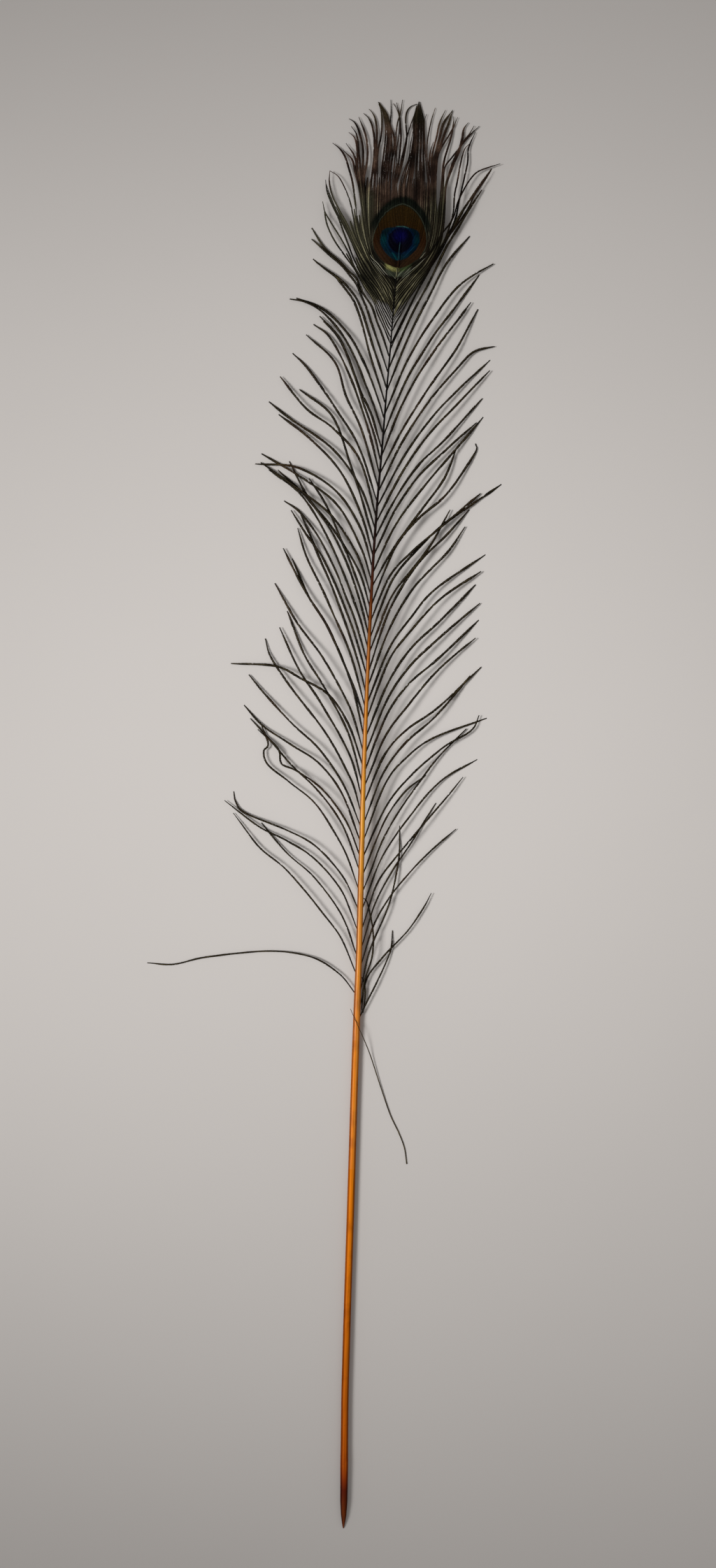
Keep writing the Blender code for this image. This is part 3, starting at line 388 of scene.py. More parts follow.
# The vane's crowned surface: its height at the shaft, and how far out and up it comes down.
vaneForm = {
    "height": 5.4, "halfWidth": 85.0, "fallFrom": 900.0, "fallTo": 1001.0, "tipHeight": 0.5,
}


def vaneLevel(x, station):
    fall = smoothStep(vaneForm["fallFrom"], vaneForm["fallTo"], station)
    crest = vaneForm["height"] + (vaneForm["tipHeight"] - vaneForm["height"]) * fall
    side = np.minimum(1.0, np.abs(x) / vaneForm["halfWidth"])
    return np.maximum(vaneForm["tipHeight"], crest * (1.0 - side ** 2))


def distancesAlong(points):
    steps = np.linalg.norm(np.diff(points, axis=0), axis=1)
    return np.concatenate(([0.0], np.cumsum(steps)))


def lengthOf(route):
    return np.linalg.norm(np.diff(route, axis=0), axis=1).sum()


# Points or directions between those of a row, at the given places on its measure.
def valuesAt(places, measure, rows):
    return np.stack([np.interp(places, measure, rows[:, axis]) for axis in range(3)], axis=1)


# Points at even distances along a smooth curve through the given ones.
def smoothRoute(points, spacing):
    points = np.asarray(points, float)
    ends = np.vstack((2.0 * points[0] - points[1], points, 2.0 * points[-1] - points[-2]))
    steps = (np.arange(16) / 16.0)[:, None]
    runs = []
    for before, start, end, after in zip(ends, ends[1:], ends[2:], ends[3:]):
        runs.append(0.5 * (
            2.0 * start + (end - before) * steps
            + (2.0 * before - 5.0 * start + 4.0 * end - after) * steps ** 2
            + (3.0 * start - before - 3.0 * end + after) * steps ** 3))
    fine = np.vstack(runs + [points[-1:]])
    reach = distancesAlong(fine)
    count = max(4, round(reach[-1] / spacing))
    return valuesAt(np.linspace(0.0, reach[-1], count + 1), reach, fine)


# A slow, smooth, seeded wobble with one value for each of count points.
def wander(count, knots, size):
    values = randomNumbers.normal(0.0, size, knots + 2)
    places = np.linspace(0.0, knots + 1.0, count)
    lower = np.clip(places.astype(int), 0, knots)
    part = places - lower
    part = part * part * (3.0 - 2.0 * part)
    return values[lower] * (1.0 - part) + values[lower + 1] * part


# One growing mesh: vertices, quads with their material's slot, and three values for each
# vertex that the materials use.
def newMesh():
    return {"vertices": [], "faces": [], "slots": [], "slot": 0, "count": 0,
            "along": [], "across": [], "tone": []}


def addPart(mesh, vertices, faces, along, across, tone):
    vertices = np.asarray(vertices, float).reshape(-1, 3)
    faces = np.asarray(faces).reshape(-1, 4)
    mesh["vertices"].append(vertices)
    mesh["faces"].append(faces + mesh["count"])
    mesh["slots"].append(np.full(len(faces), mesh["slot"], np.int32))
    for key, value in (("along", along), ("across", across), ("tone", tone)):
        mesh[key].append(np.broadcast_to(value, len(vertices)))
    mesh["count"] += len(vertices)


# A strip of quads between two rows of points.
def addStrip(mesh, near, far, across, tone, turned=False):
    row = np.arange(len(near) - 1) * 2
    faces = np.stack((row, row + 1, row + 3, row + 2), axis=1)
    if turned:
        faces = faces[:, ::-1]
    addPart(mesh, np.stack((near, far), axis=1), faces, 0.5, across, tone)


# Unit vectors along a route and to the right of it.
def directionsOf(route):
    along = np.gradient(route, axis=0)
    along /= np.linalg.norm(along, axis=1)[:, None]
    right = np.cross(along, (0.0, 0.0, 1.0))
    right /= np.linalg.norm(right, axis=1)[:, None]
    return along, right


# A tube of oval section along a route, open at its fine ends.
def addTube(mesh, route, widths, heights, sides, tone):
    along, right = directionsOf(route)
    over = np.cross(right, along)
    angles = 2.0 * math.pi * np.arange(sides) / sides
    ring = (np.cos(angles)[None, :, None] * right[:, None] * widths[:, None, None] / 2.0
            + np.sin(angles)[None, :, None] * over[:, None] * heights[:, None, None] / 2.0)
    count = len(route)
    rows, columns = np.meshgrid(np.arange(count - 1), np.arange(sides), indexing="ij")
    after = (columns + 1) % sides
    faces = np.stack((rows * sides + columns, rows * sides + after,
                      (rows + 1) * sides + after, (rows + 1) * sides + columns), axis=-1)
    share = np.repeat(np.linspace(0.0, 1.0, count), sides)
    addPart(mesh, route[:, None] + ring, faces, share, 0.0, tone)


# Barbules: thin blades that leave a barb forwards and droop at their ends. Real ones are
# much finer than one in 0.36 mm, and these are as coarse as they need to be to show.
barbule = {
    "placeSpread": 0.3, "lengthSpread": (0.93, 1.05), "leanSpread": 2.0, "slopeSpread": 4.0,
    "rootGap": 0.05, "rootHalf": 0.78, "tipHalf": 0.55, "toneSpread": 0.09,
    # Nicks, where barbules came apart: millimetres between two, where they are, their sizes.
    "nickEvery": 80.0, "nickAt": (0.15, 1.0), "nickReach": (0.3, 0.8),
    "nickDepth": (0.25, 0.75),
}


# How much of each barbule is left where the edge of a barb is nicked or worn.
def nickedEdge(places, total):
    left = np.ones(len(places))
    for _ in range(randomNumbers.poisson(total / barbule["nickEvery"])):
        middle = total * randomNumbers.uniform(*barbule["nickAt"])
        reach = randomNumbers.uniform(*barbule["nickReach"])
        depth = randomNumbers.uniform(*barbule["nickDepth"])
        left = np.minimum(left, 1.0 - depth * np.exp(-((places - middle) / reach) ** 2))
    return left


# Two rows of barbules along a barb, as long as lengths says at each point of its route.
def addBarbules(mesh, route, lengths, plan, tone):
    pitch, lean, slope = plan["pitch"], plan["lean"], plan["slope"]
    total = lengthOf(route)
    reach = distancesAlong(route)
    along, right = directionsOf(route)
    down = np.array((0.0, 0.0, -1.0))
    count = int(total / pitch)
    spread = barbule["placeSpread"]
    for side in (-1.0, 1.0):
        places = (np.arange(count) + 0.5 + randomNumbers.uniform(-spread, spread, count)) * pitch
        places = np.clip(places, 0.0, total)
        forward = valuesAt(places, reach, along)
        out = valuesAt(places, reach, right) * side
        reachOut = np.interp(places, reach, lengths)
        reachOut = reachOut * randomNumbers.uniform(*barbule["lengthSpread"], count)
        reachOut *= nickedEdge(places, total)
        reachOut /= math.sin(math.radians(lean)) * math.cos(math.radians(slope))
        turn = np.radians(lean + randomNumbers.normal(0.0, barbule["leanSpread"], count))
        droop = np.radians(slope + randomNumbers.normal(0.0, barbule["slopeSpread"], count))
        turn, droop = turn[:, None], droop[:, None]
        blade = (np.cos(turn) * forward
                 + np.sin(turn) * (np.cos(droop) * out + np.sin(droop) * down))
        root = valuesAt(places, reach, route) + out * barbule["rootGap"]
        tip = root + blade * reachOut[:, None]
        half = pitch * barbule["rootHalf"]
        end = pitch * barbule["tipHalf"]
        corners = np.stack((root - forward * half, root + forward * half,
                            tip + forward * end, tip - forward * end), axis=1)
        faces = np.arange(count * 4).reshape(-1, 4)
        if side > 0.0:
            faces = faces[:, ::-1]
        tones = tone + randomNumbers.normal(0.0, barbule["toneSpread"], count)
        addPart(mesh, corners, faces, np.repeat(places / total, 4),
                np.tile((0.0, 0.0, 1.0, 1.0), count), np.repeat(tones, 4))


def makePiece(name, mesh, materials):
    vertices = toFrame(np.vstack(mesh["vertices"]))
    faces = np.vstack(mesh["faces"])
    data = bpy.data.meshes.new(name)
    data.vertices.add(len(vertices))
    data.vertices.foreach_set("co", vertices.astype(np.float32).ravel())
    data.loops.add(faces.size)
    data.loops.foreach_set("vertex_index", faces.astype(np.int32).ravel())
    data.polygons.add(len(faces))
    data.polygons.foreach_set("loop_start", np.arange(0, faces.size, 4, dtype=np.int32))
    data.polygons.foreach_set("material_index", np.concatenate(mesh["slots"]))
    data.polygons.foreach_set("use_smooth", np.ones(len(faces), bool))
    data.update(calc_edges=True)
    for key in ("along", "across", "tone"):
        values = data.attributes.new(key, "FLOAT", "POINT")
        values.data.foreach_set("value", np.concatenate(mesh[key]).astype(np.float32))
    piece = bpy.data.objects.new(name, data)
    bpy.context.scene.collection.objects.link(piece)
    for material in materials:
        data.materials.append(material)
    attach(piece, "root")
    print(name, len(faces) * 2, "triangles")
    return piece


# A linear colour from sRGB hex.
def linear(colour):
    values = [int(colour[index:index + 2], 16) / 255.0 for index in (1, 3, 5)]
    return [v / 12.92 if v <= 0.04045 else ((v + 0.055) / 1.055) ** 2.4 for v in values] + [1.0]


def newMaterial(name):
    material = bpy.data.materials.new(name)
    material.use_nodes = True
    return material, material.node_tree, material.node_tree.nodes["Principled BSDF"]


# Each input is a number, a vector, a hex colour or another node's output.
def setInputs(tree, node, inputs):
    if not isinstance(inputs, dict):
        inputs = dict(enumerate(inputs))
    for key, value in inputs.items():
        if isinstance(value, bpy.types.NodeSocket):
            tree.links.new(value, node.inputs[key])
        else:
            node.inputs[key].default_value = linear(value) if isinstance(value, str) else value


# Adds a shader node with its settings and links and returns one of its outputs. The setting
# "stops" fills a colour ramp.
def addNode(tree, kind, settings=None, inputs=(), output=0):
    node = tree.nodes.new("ShaderNode" + kind)
    for key, value in (settings or {}).items():
        if key != "stops":
            setattr(node, key, value)
            continue
        elements = node.color_ramp.elements
        while len(elements) > 1:
            elements.remove(elements[-1])
        elements[0].position, elements[0].color = value[0][0], linear(value[0][1])
        for position, colour in value[1:]:
            elements.new(position).color = linear(colour)
    setInputs(tree, node, inputs)
    return node.outputs[output]


# What colours can depend on: the place on the feather in millimetres, what the meshes carry,
# and noises, each with the width of its patches in millimetres and its detail.
def valuesIn(tree, carried, noises):
    where = addNode(tree, "TexCoord", output="Object")
    split = addNode(tree, "SeparateXYZ", inputs=(where,)).node
    values = {"where": where}
    for name, axis, origin in (("x", "X", originX), ("station", "Y", originStation)):
        values[name] = addNode(tree, "Math", {"operation": "MULTIPLY_ADD"},
                               (split.outputs[axis], 1.0 / millimetre, origin))
    for name in carried:
        values[name] = addNode(tree, "Attribute", {"attribute_name": name}, output="Fac")
    for name, wide, detail in noises:
        values[name] = addNode(tree, "TexNoise", inputs={
            "Vector": where, "Scale": 1.0 / (wide * millimetre), "Detail": detail})
    return values


# Multiplies smooth ranges. Each names a value, where it starts and where it ends, and falls
# where the end is the smaller. Two more numbers are the shares at its start and its end.
def shareOf(tree, values, ranges, share=1.0):
    for name, start, end, *ends in ranges:
        low, high = ends or (0.0, 1.0)
        part = addNode(tree, "MapRange", {"interpolation_type": "SMOOTHSTEP"}, {
            "Value": values[name], "From Min": start, "From Max": end,
            "To Min": low, "To Max": high})
        share = addNode(tree, "Math", {"operation": "MULTIPLY"}, (share, part))
    return share


# Lays colours over one another. Each layer is a colour, or the name of one made before, and
# the ranges that limit it. A Mix node's colours are its inputs 6 and 7 and its output 2.
def layered(tree, values, colour, layers, blend="MIX"):
    for over, *ranges in layers:
        colour = addNode(tree, "Mix", {"data_type": "RGBA", "blend_type": blend}, {
            0: shareOf(tree, values, ranges), 6: colour, 7: values.get(over, over)}, 2)
    return colour


keratinIor = 1.56

# The eye. Its rings: centre X, centre station, half width, reach down, reach up, squareness
# below, squareness above. Each is two half ovals, and the teal one has a flat top.
eye = {
    "outline": (0.35, 900.0, 18.8, 18.6, 26.3, 1.75, 1.78),
    "teal": (0.35, 901.0, 13.95, 14.2, 9.2, 1.65, 3.6),
    "navy": (0.85, 901.4, 8.8, 9.2, 8.5, 2.0, 2.1),
    "lean": 0.04,  # how far its middle line moves to the right for each millimetre up
    "waver": 1.2,  # how far its lines wander, in millimetres
    "glowAt": (0.6, 904.0, 0.0),  # X and station of the bluer middle
    "glowReach": 7.0,
    "bronze": ((0.0, "#28190c"), (0.12, "#2b1a0c"), (0.4, "#241204"), (0.75, "#271804"),
               (1.0, "#281b06")),
    "tealBand": ((0.0, "#062630"), (0.2, "#001a28"), (0.45, "#002630"), (0.65, "#002e33"),
                 (0.88, "#00131a"), (1.0, "#041a20")),
    # Fine pale streaks in the blue: from X and station to X and station, half width, colour.
    "streaks": (
        (-0.5, 887.0, 0.7, 900.5, 0.5, "#28464e"),
        (-0.8, 887.4, -5.2, 893.0, 0.9, "#0a4c56"),
        (-1.4, 887.2, -3.4, 892.5, 0.7, "#0a4c56"),
        (3.6, 889.2, 12.0, 898.5, 0.6, "#0e3650"),
        (-2.5, 910.6, 3.0, 910.9, 0.5, "#2e5850"),
        (2.0, 910.9, 7.0, 909.8, 0.5, "#2e5850"),
    ),
}


# A ring's measure: 1 on the egg's line, less inside it.
def eggIn(tree, x, station, egg):
    centreX, centreStation, half, down, up, squareBelow, squareAbove = egg
    out = addNode(tree, "Math", {"operation": "SUBTRACT"}, (x, centreX))
    rise = addNode(tree, "Math", {"operation": "SUBTRACT"}, (station, centreStation))
    above = addNode(tree, "Math", {"operation": "GREATER_THAN"}, (rise, 0.0))
    scale = addNode(tree, "MapRange", inputs={
        "Value": above, "To Min": 1.0 / down, "To Max": 1.0 / up})
    square = addNode(tree, "MapRange", inputs={
        "Value": above, "To Min": squareBelow, "To Max": squareAbove})
    powers = []
    for way, share in ((out, 1.0 / half), (rise, scale)):
        way = addNode(tree, "Math", {"operation": "MULTIPLY"}, (way, share))
        way = addNode(tree, "Math", {"operation": "ABSOLUTE"}, (way,))
        powers.append(addNode(tree, "Math", {"operation": "POWER"}, (way, square)))
    total = addNode(tree, "Math", {"operation": "ADD"}, powers)
    root = addNode(tree, "Math", {"operation": "DIVIDE"}, (1.0, square))
    return addNode(tree, "Math", {"operation": "POWER"}, (total, root))


# Where herl changes colour, from the first layer to the last. Layers marked "web" are only in
# the hooked sheet between barbs.
herlZones = (
    # Fewer ruddy patches near the eye, then the brown fringe with olive tips.
    ("all", "#2e1a12", ("warm", 0.56, 0.68, 0.0, 0.6), ("station", 840.0, 875.0, 1.0, 0.35)),
    ("all", "fringe", ("fringeStation", 908.0, 934.0)),
    ("all", "#3e3a24", ("station", 976.0, 994.0, 0.0, 0.5)),
    # A paler crown above the eye, and painted shade in the corners below it, deeper on the left.
    ("all", "#5c493d", ("off", 5.0, 12.0, 0.4, 0.0), ("station", 926.0, 932.0),
     ("station", 948.0, 938.0)),
    ("all", "#0e0c08", ("off", 12.0, 17.0), ("off", 30.0, 23.0), ("station", 866.0, 874.0),
     ("station", 890.0, 883.0), ("x", -10.0, 10.0, 0.8, 0.5)),
    # The sides of the eye: a pale sheet, olive to the left, and olive further out.
    ("web", "#a09a7c", ("off", 16.5, 21.0, 0.0, 0.45), ("off", 28.0, 23.0),
     ("station", 890.0, 900.0), ("station", 936.0, 922.0)),
    ("all", "#4c4a3a", ("x", -22.0, -16.0, 0.5, 0.0), ("station", 890.0, 902.0),
     ("station", 942.0, 926.0)),
    ("web", "#3c3a2c", ("off", 22.0, 28.0), ("station", 880.0, 892.0),
     ("station", 965.0, 950.0), ("x", -10.0, 10.0, 0.18, 0.72)),
    # The dark halo over the eye, a painted sheen as the pale rim under it, and the green below
    # that.
    ("all", "#10140e", ("outline", 1.30, 1.17), ("station", 900.0, 914.0)),
    ("web", "#9a9a86", ("station", 893.0, 889.0), ("edge", -0.01, 0.01),
     ("edge", 0.03, 0.07, 0.9, 0.0)),
    ("all", "green", ("station", 893.0, 889.0), ("edge", 0.02, -0.03),
     ("off", 6.5, 10.5, 0.95, 0.0)),
    # The eye from its grey line inwards.
    ("all", "#3a3e32", ("outline", 0.99, 1.0), ("outline", 1.034, 1.014),
     ("station", 886.0, 898.0, 0.2, 0.65)),
    ("all", "bronze", ("outline", 1.0, 0.96)),
    ("all", "tealBand", ("teal", 1.03, 0.94)),
    ("all", "#01142e", ("navy", 1.0, 1.26, 0.8, 0.0)),
    ("all", "centre", ("navy", 1.02, 0.93)),
)
greenZones = (
    ("#323c22", ("x", -2.0, 2.0)), ("#454a3c", ("outline", 1.08, 1.18)),
    ("#34351f", ("off", 8.0, 13.0)),
)


# Herl: the barbules' dark bronze-olive keratin, whose colour depends on the place in the
# feather, as the thin layers in it do. Its rows of barbules trap light, so it has little
# gloss. The sheet of hooked barbules between close-set barbs is a lighter olive. The grain is
# as coarse as it needs to be to show: real barbules are some hundredths of a millimetre wide.
def makeHerl(name, looseStops, closeStops, fringeStops, isWeb):
    material, tree, shader = newMaterial(name)
    values = valuesIn(tree, ("along", "across", "tone"), (
        ("patches", 11.11, 3.0), ("grain", 0.7143, 2.0), ("warm", 45.45, 1.0),
        ("wobble", 3.846, 2.0)))
    x, station = values["x"], values["station"]
    values["off"] = addNode(tree, "Math", {"operation": "ABSOLUTE"}, (x,))
    # The fringe starts lower at the sides.
    lower = shareOf(tree, values, (("off", 14.0, 22.0, 0.0, 14.0),))
    values["fringeStation"] = addNode(tree, "Math", {"operation": "SUBTRACT"},
                                      (station, lower))

    wobble = addNode(tree, "Math", {"operation": "SUBTRACT"}, (values["wobble"], 0.5))
    lean = addNode(tree, "Math", {"operation": "SUBTRACT"}, (station, eye["outline"][1]))
    lean = addNode(tree, "Math", {"operation": "MULTIPLY"}, (lean, eye["lean"]))
    upright = addNode(tree, "Math", {"operation": "SUBTRACT"}, (x, lean))
    wavyX, wavyStation = [
        addNode(tree, "Math", {"operation": "MULTIPLY_ADD"}, (wobble, waver, value))
        for waver, value in ((eye["waver"], upright), (-eye["waver"], station))]
    for ring in ("outline", "teal", "navy"):
        values[ring] = eggIn(tree, wavyX, wavyStation, eye[ring])
    # The edge of the green below the eye, which is wider near the middle.
    green = shareOf(tree, values, (("off", 5.0, 14.0, 1.34, 1.09),))
    values["edge"] = addNode(tree, "Math", {"operation": "SUBTRACT"},
                             (values["outline"], green))
    place = addNode(tree, "CombineXYZ", inputs=(x, station))
    values["glow"] = addNode(tree, "VectorMath", {"operation": "DISTANCE"},
                             (place, eye["glowAt"]), "Value")

    for key, stops, ranges in (("bronze", eye["bronze"], ("station", 884.0, 924.0)),
                               ("tealBand", eye["tealBand"], ("station", 887.0, 911.0))):
        values[key] = addNode(tree, "ValToRGB", {"stops": stops},
                              (shareOf(tree, values, (ranges,)),))
    for key, stops in (("loose", looseStops), ("close", closeStops), ("fringe", fringeStops)):
        values[key] = addNode(tree, "ValToRGB", {"stops": stops}, (values["patches"],))
    values["tealBand"] = layered(tree, values, values["tealBand"], (
        ("#000c1a", ("x", 5.0, 11.0, 0.0, 0.4)),))
    values["centre"] = layered(tree, values, "#01010e", (
        ("#050340", ("glow", eye["glowReach"], 0.0)),))
    values["green"] = layered(tree, values, "#98965c", greenZones)

    colour = layered(tree, values, values["loose"], (
        ("close", ("station", 835.0, 862.0), ("off", 38.0, 24.0)),))
    colour = layered(tree, values, colour, [
        layer for kind, *layer in herlZones if isWeb or kind == "all"])
    for startX, startStation, endX, endStation, half, streakColour in eye["streaks"]:
        run, rise = endX - startX, endStation - startStation
        length = math.hypot(run, rise)
        place = addNode(tree, "CombineXYZ", inputs=(x, station))
        place = addNode(tree, "VectorMath", {"operation": "SUBTRACT"},
                        (place, (startX, startStation, 0.0)))
        for key, way in (("reach", (run, rise, 0.0)), ("aside", (rise, -run, 0.0))):
            values[key] = addNode(tree, "VectorMath", {"operation": "DOT_PRODUCT"},
                                  (place, [part / length for part in way]), "Value")
        values["aside"] = addNode(tree, "Math", {"operation": "ABSOLUTE"}, (values["aside"],))
        colour = layered(tree, values, colour, (
            (streakColour, ("aside", half, 0.0), ("reach", -0.5, 0.5),
             ("reach", length, length - 2.5)),))

    # Each barb has its own tone, which shows less inside the eye.
    tone = addNode(tree, "Math", {"operation": "SUBTRACT"}, (values["tone"], 0.5))
    toneGain = shareOf(tree, values, (("outline", 1.0, 1.1, 0.8, 2.0),))
    light = addNode(tree, "Math", {"operation": "MULTIPLY_ADD"}, (tone, toneGain, 1.0))
    light = shareOf(tree, values, (
        ("grain", 0.3, 0.7, 0.75, 1.25), ("across", 0.0, 1.0, 0.8, 1.15),
        ("along", 0.0, 0.12, 0.6, 1.0)), light)
    # The fringe is paler left of the middle, and the vane below the eye is darker there.
    uneven = shareOf(tree, values, (
        ("x", -9.0, 3.0, 1.45, 0.75), ("station", 938.0, 948.0, 1.0, 0.75)))
    below = shareOf(tree, values, (("x", -14.0, -4.0, 0.88, 1.0),))
    for other, *ranges in ((1.1, ("off", 23.0, 15.0)), (below, ("station", 912.0, 936.0)),
                           (1.0, ("outline", 1.0, 1.06)), (1.0, ("station", 835.0, 862.0))):
        uneven = addNode(tree, "Mix", {"data_type": "FLOAT"}, {
            0: shareOf(tree, values, ranges), 2: other, 3: uneven})
    light = addNode(tree, "Math", {"operation": "MULTIPLY"}, (light, uneven))
    shade = addNode(tree, "CombineXYZ", inputs=(light, light, light))
    colour = addNode(tree, "Mix", {"data_type": "RGBA", "blend_type": "MULTIPLY"},
                     {0: 1.0, 6: colour, 7: shade}, 2)
    rough = shareOf(tree, values, (("grain", 0.3, 0.7, 0.45, 0.65),))
    setInputs(tree, shader, {"Base Color": colour, "Roughness": rough, "IOR": keratinIor,
                             "Specular IOR Level": 0.03})
    return material


# Rami: the bare keratin thread in the middle of each barb, dark at the shaft and a paler
# olive-brown further out, where it shows as a fine line between the rows of barbules.
def makeRamus():
    material, tree, shader = newMaterial("ramusKeratin")
    values = valuesIn(tree, ("along",), (("patches", 6.25, 3.0),))
    colour = addNode(tree, "ValToRGB", {"stops": (
        (0.30, "#221c10"), (0.55, "#453a24"), (0.75, "#665a3c"))}, (values["patches"],))
    colour = layered(tree, values, colour, (
        ("#0a0705", ("along", 0.02, 0.3, 0.85, 0.0)),
        ("#3c200c", ("along", 0.0, 0.10, 0.5, 0.0), ("station", 690.0, 640.0))))
    setInputs(tree, shader, {"Base Color": colour, "Roughness": 0.42, "IOR": keratinIor,
                             "Specular IOR Level": 0.08})
    return material


# The shaft's dye by station in metres, then its grain, painted shade and painted highlights.
shaftDyes = (
    # From 12 to 36 mm the quill's end is painted darker, as shade of a dark ground seen through
    # its thin keratin.
    (0.000, "#7c3e1c"), (0.012, "#703008"), (0.028, "#641c02"), (0.036, "#9a3a02"),
    (0.046, "#c45a02"), (0.062, "#c86002"), (0.120, "#d06c02"),
    (0.200, "#e67c02"), (0.345, "#e28206"), (0.440, "#d0800c"), (0.500, "#e29a1c"),
    (0.560, "#c87a12"), (0.610, "#985210"), (0.648, "#64300c"), (0.672, "#34140a"),
    (0.700, "#170b08"), (0.760, "#0b0807"), (0.880, "#0c0b08"), (0.900, "#0c0b08"),
)
shaftLayers = (
    ("MULTIPLY", "#7a3404", ("furrows", 0.45, 0.75, 0.0, 0.35)),
    ("MULTIPLY", "#8a3a08", ("blots", 0.5, 0.72, 0.0, 0.3)),
    ("MIX", "#3a1a0c", ("flecks", 0.66, 0.74, 0.0, 0.35)),
    # Painted shade: both flanks are darkened, the right one less further up the shaft.
    ("MULTIPLY", "#5a2406", ("across", -0.65, -0.35, 0.7, 0.0)),
    ("MULTIPLY", "#5a2406", ("across", 0.4, 0.8), ("station", 250.0, 400.0, 0.6, 0.1)),
    # Painted highlights: two pale stripes along the ridges beside the middle.
    ("MIX", "#f8b45c", ("across", -0.52, -0.36, 0.0, 0.36), ("across", -0.04, -0.20),
     ("station", 350.0, 410.0), ("station", 650.0, 600.0)),
    ("MIX", "#f8b45c", ("across", 0.10, 0.26, 0.0, 0.26), ("across", 0.62, 0.46),
     ("station", 230.0, 300.0), ("station", 480.0, 430.0)),
    # A painted highlight on the left half of the shaft where it goes under the eye.
    ("MIX", "#8a8868", ("across", 0.1, -0.3), ("station", 874.5, 876.5),
     ("station", 881.5, 880.0)),
)


# The shaft's grain in millimetres: furrows drawn out along it, blots of dye and dark flecks.
shaftGrain = {
    "furrowWidth": 0.6667, "furrowLength": 22.22, "furrowDepth": 0.12, "furrowStrength": 0.35,
    "blotWidth": 14.29, "fleckWidth": 1.5385,
}


def makeShaftMaterial(name, roughFrom, roughTo, specularLevel):
    material, tree, shader = newMaterial(name)
    values = valuesIn(tree, ("across",), (
        ("blots", shaftGrain["blotWidth"], 4.0), ("flecks", shaftGrain["fleckWidth"], 3.0)))
    shortened = shaftGrain["furrowWidth"] / shaftGrain["furrowLength"]
    stretched = addNode(tree, "Mapping", inputs={
        "Vector": values["where"], "Scale": (1.0, shortened, 1.0)})
    furrows = addNode(tree, "TexNoise", inputs={
        "Vector": stretched, "Scale": 1.0 / (shaftGrain["furrowWidth"] * millimetre),
        "Detail": 4.0})
    values["furrows"] = furrows
    metres = addNode(tree, "Math", {"operation": "MULTIPLY"}, (values["station"], millimetre))
    colour = addNode(tree, "ValToRGB", {"stops": shaftDyes}, (metres,))
    for blend, *layer in shaftLayers:
        colour = layered(tree, values, colour, (layer,), blend)
    # The flanks are rougher than the top.
    values["off"] = addNode(tree, "Math", {"operation": "ABSOLUTE"}, (values["across"],))
    rough = addNode(tree, "Math", {"operation": "ADD"}, (
        shareOf(tree, values, (("furrows", 0.3, 0.7, roughFrom, roughTo),)),
        shareOf(tree, values, (("off", 0.3, 0.7, 0.0, 0.35),))))
    bump = addNode(tree, "Bump", inputs={
        "Height": furrows, "Strength": shaftGrain["furrowStrength"],
        "Distance": shaftGrain["furrowDepth"] * millimetre})
    setInputs(tree, shader, {"Base Color": colour, "Roughness": rough, "Normal": bump,
                             "IOR": keratinIor, "Specular IOR Level": specularLevel})
    return material


# Floor: painted board, plain, pale and matt, so that only soft shadows show on it.
floorPlan = {
    "half": 2.4, "forward": 0.3, "colours": ("#cac5c1", "#d0cbc7"), "blotchWidth": 333.0,
    "roughness": 0.9,
}
half, forward = floorPlan["half"], floorPlan["forward"]
floorCorners = [(half * sideways, half * ahead + forward, 0.0)
                for sideways, ahead in ((-1, -1), (1, -1), (1, 1), (-1, 1))]
floorData = bpy.data.meshes.new("floor")
floorData.from_pydata(floorCorners, [], [(0, 1, 2, 3)])
floor = bpy.data.objects.new("floor", floorData)
bpy.context.scene.collection.objects.link(floor)
floorMaterial, floorTree, floorShader = newMaterial("paleMattBoard")
floorNoise = addNode(floorTree, "TexNoise", inputs={
    "Vector": addNode(floorTree, "TexCoord", output="Object"),
    "Scale": 1.0 / (floorPlan["blotchWidth"] * millimetre), "Detail": 3.0})
floorColour = addNode(floorTree, "Mix", {"data_type": "RGBA"}, {
    0: floorNoise, 6: floorPlan["colours"][0], 7: floorPlan["colours"][1]}, 2)
setInputs(floorTree, floorShader, {
    "Base Color": floorColour, "Roughness": floorPlan["roughness"]})
floorData.materials.append(floorMaterial)
print("floor")

# Colours of loose herl, of close herl and of the fringe, each from dark patches to light ones.
herl = makeHerl(
    "herlBarbules",
    ((0.30, "#080603"), (0.46, "#100c06"), (0.60, "#171108"), (0.75, "#1f190c")),
    ((0.30, "#090805"), (0.50, "#12100a"), (0.70, "#201d14")),
    ((0.30, "#19110d"), (0.50, "#30221b"), (0.72, "#584438")), False)
hooked = makeHerl(
    "hookedBarbules",
    ((0.30, "#1c1a10"), (0.60, "#2f2a19")),
    ((0.30, "#3a3827"), (0.50, "#56523d"), (0.70, "#77725a")),
    ((0.30, "#30251f"), (0.50, "#44362c"), (0.72, "#625143")), True)
ramus = makeRamus()
# The bare quill: keratin soaked in orange dye, worn nearly matt so that the dye looks deep.
dyedQuill = makeShaftMaterial("dyedQuillKeratin", 0.5, 0.7, 0.08)
# Dyed keratin where the quill starts and ends to carry barbs: rubbed, with a faint sheen.
wornShaft = makeShaftMaterial("wornShaftKeratin", 0.45, 0.6, 0.2)
# The dyed part among the barbs: satin and finely furrowed, with a long soft highlight.
dyedShaft = makeShaftMaterial("dyedShaftKeratin", 0.38, 0.55, 0.36)
# The undyed part by the eye: black-brown keratin, nearly matt.
darkShaft = makeShaftMaterial("darkShaftKeratin", 0.55, 0.75, 0.06)
print("materials")

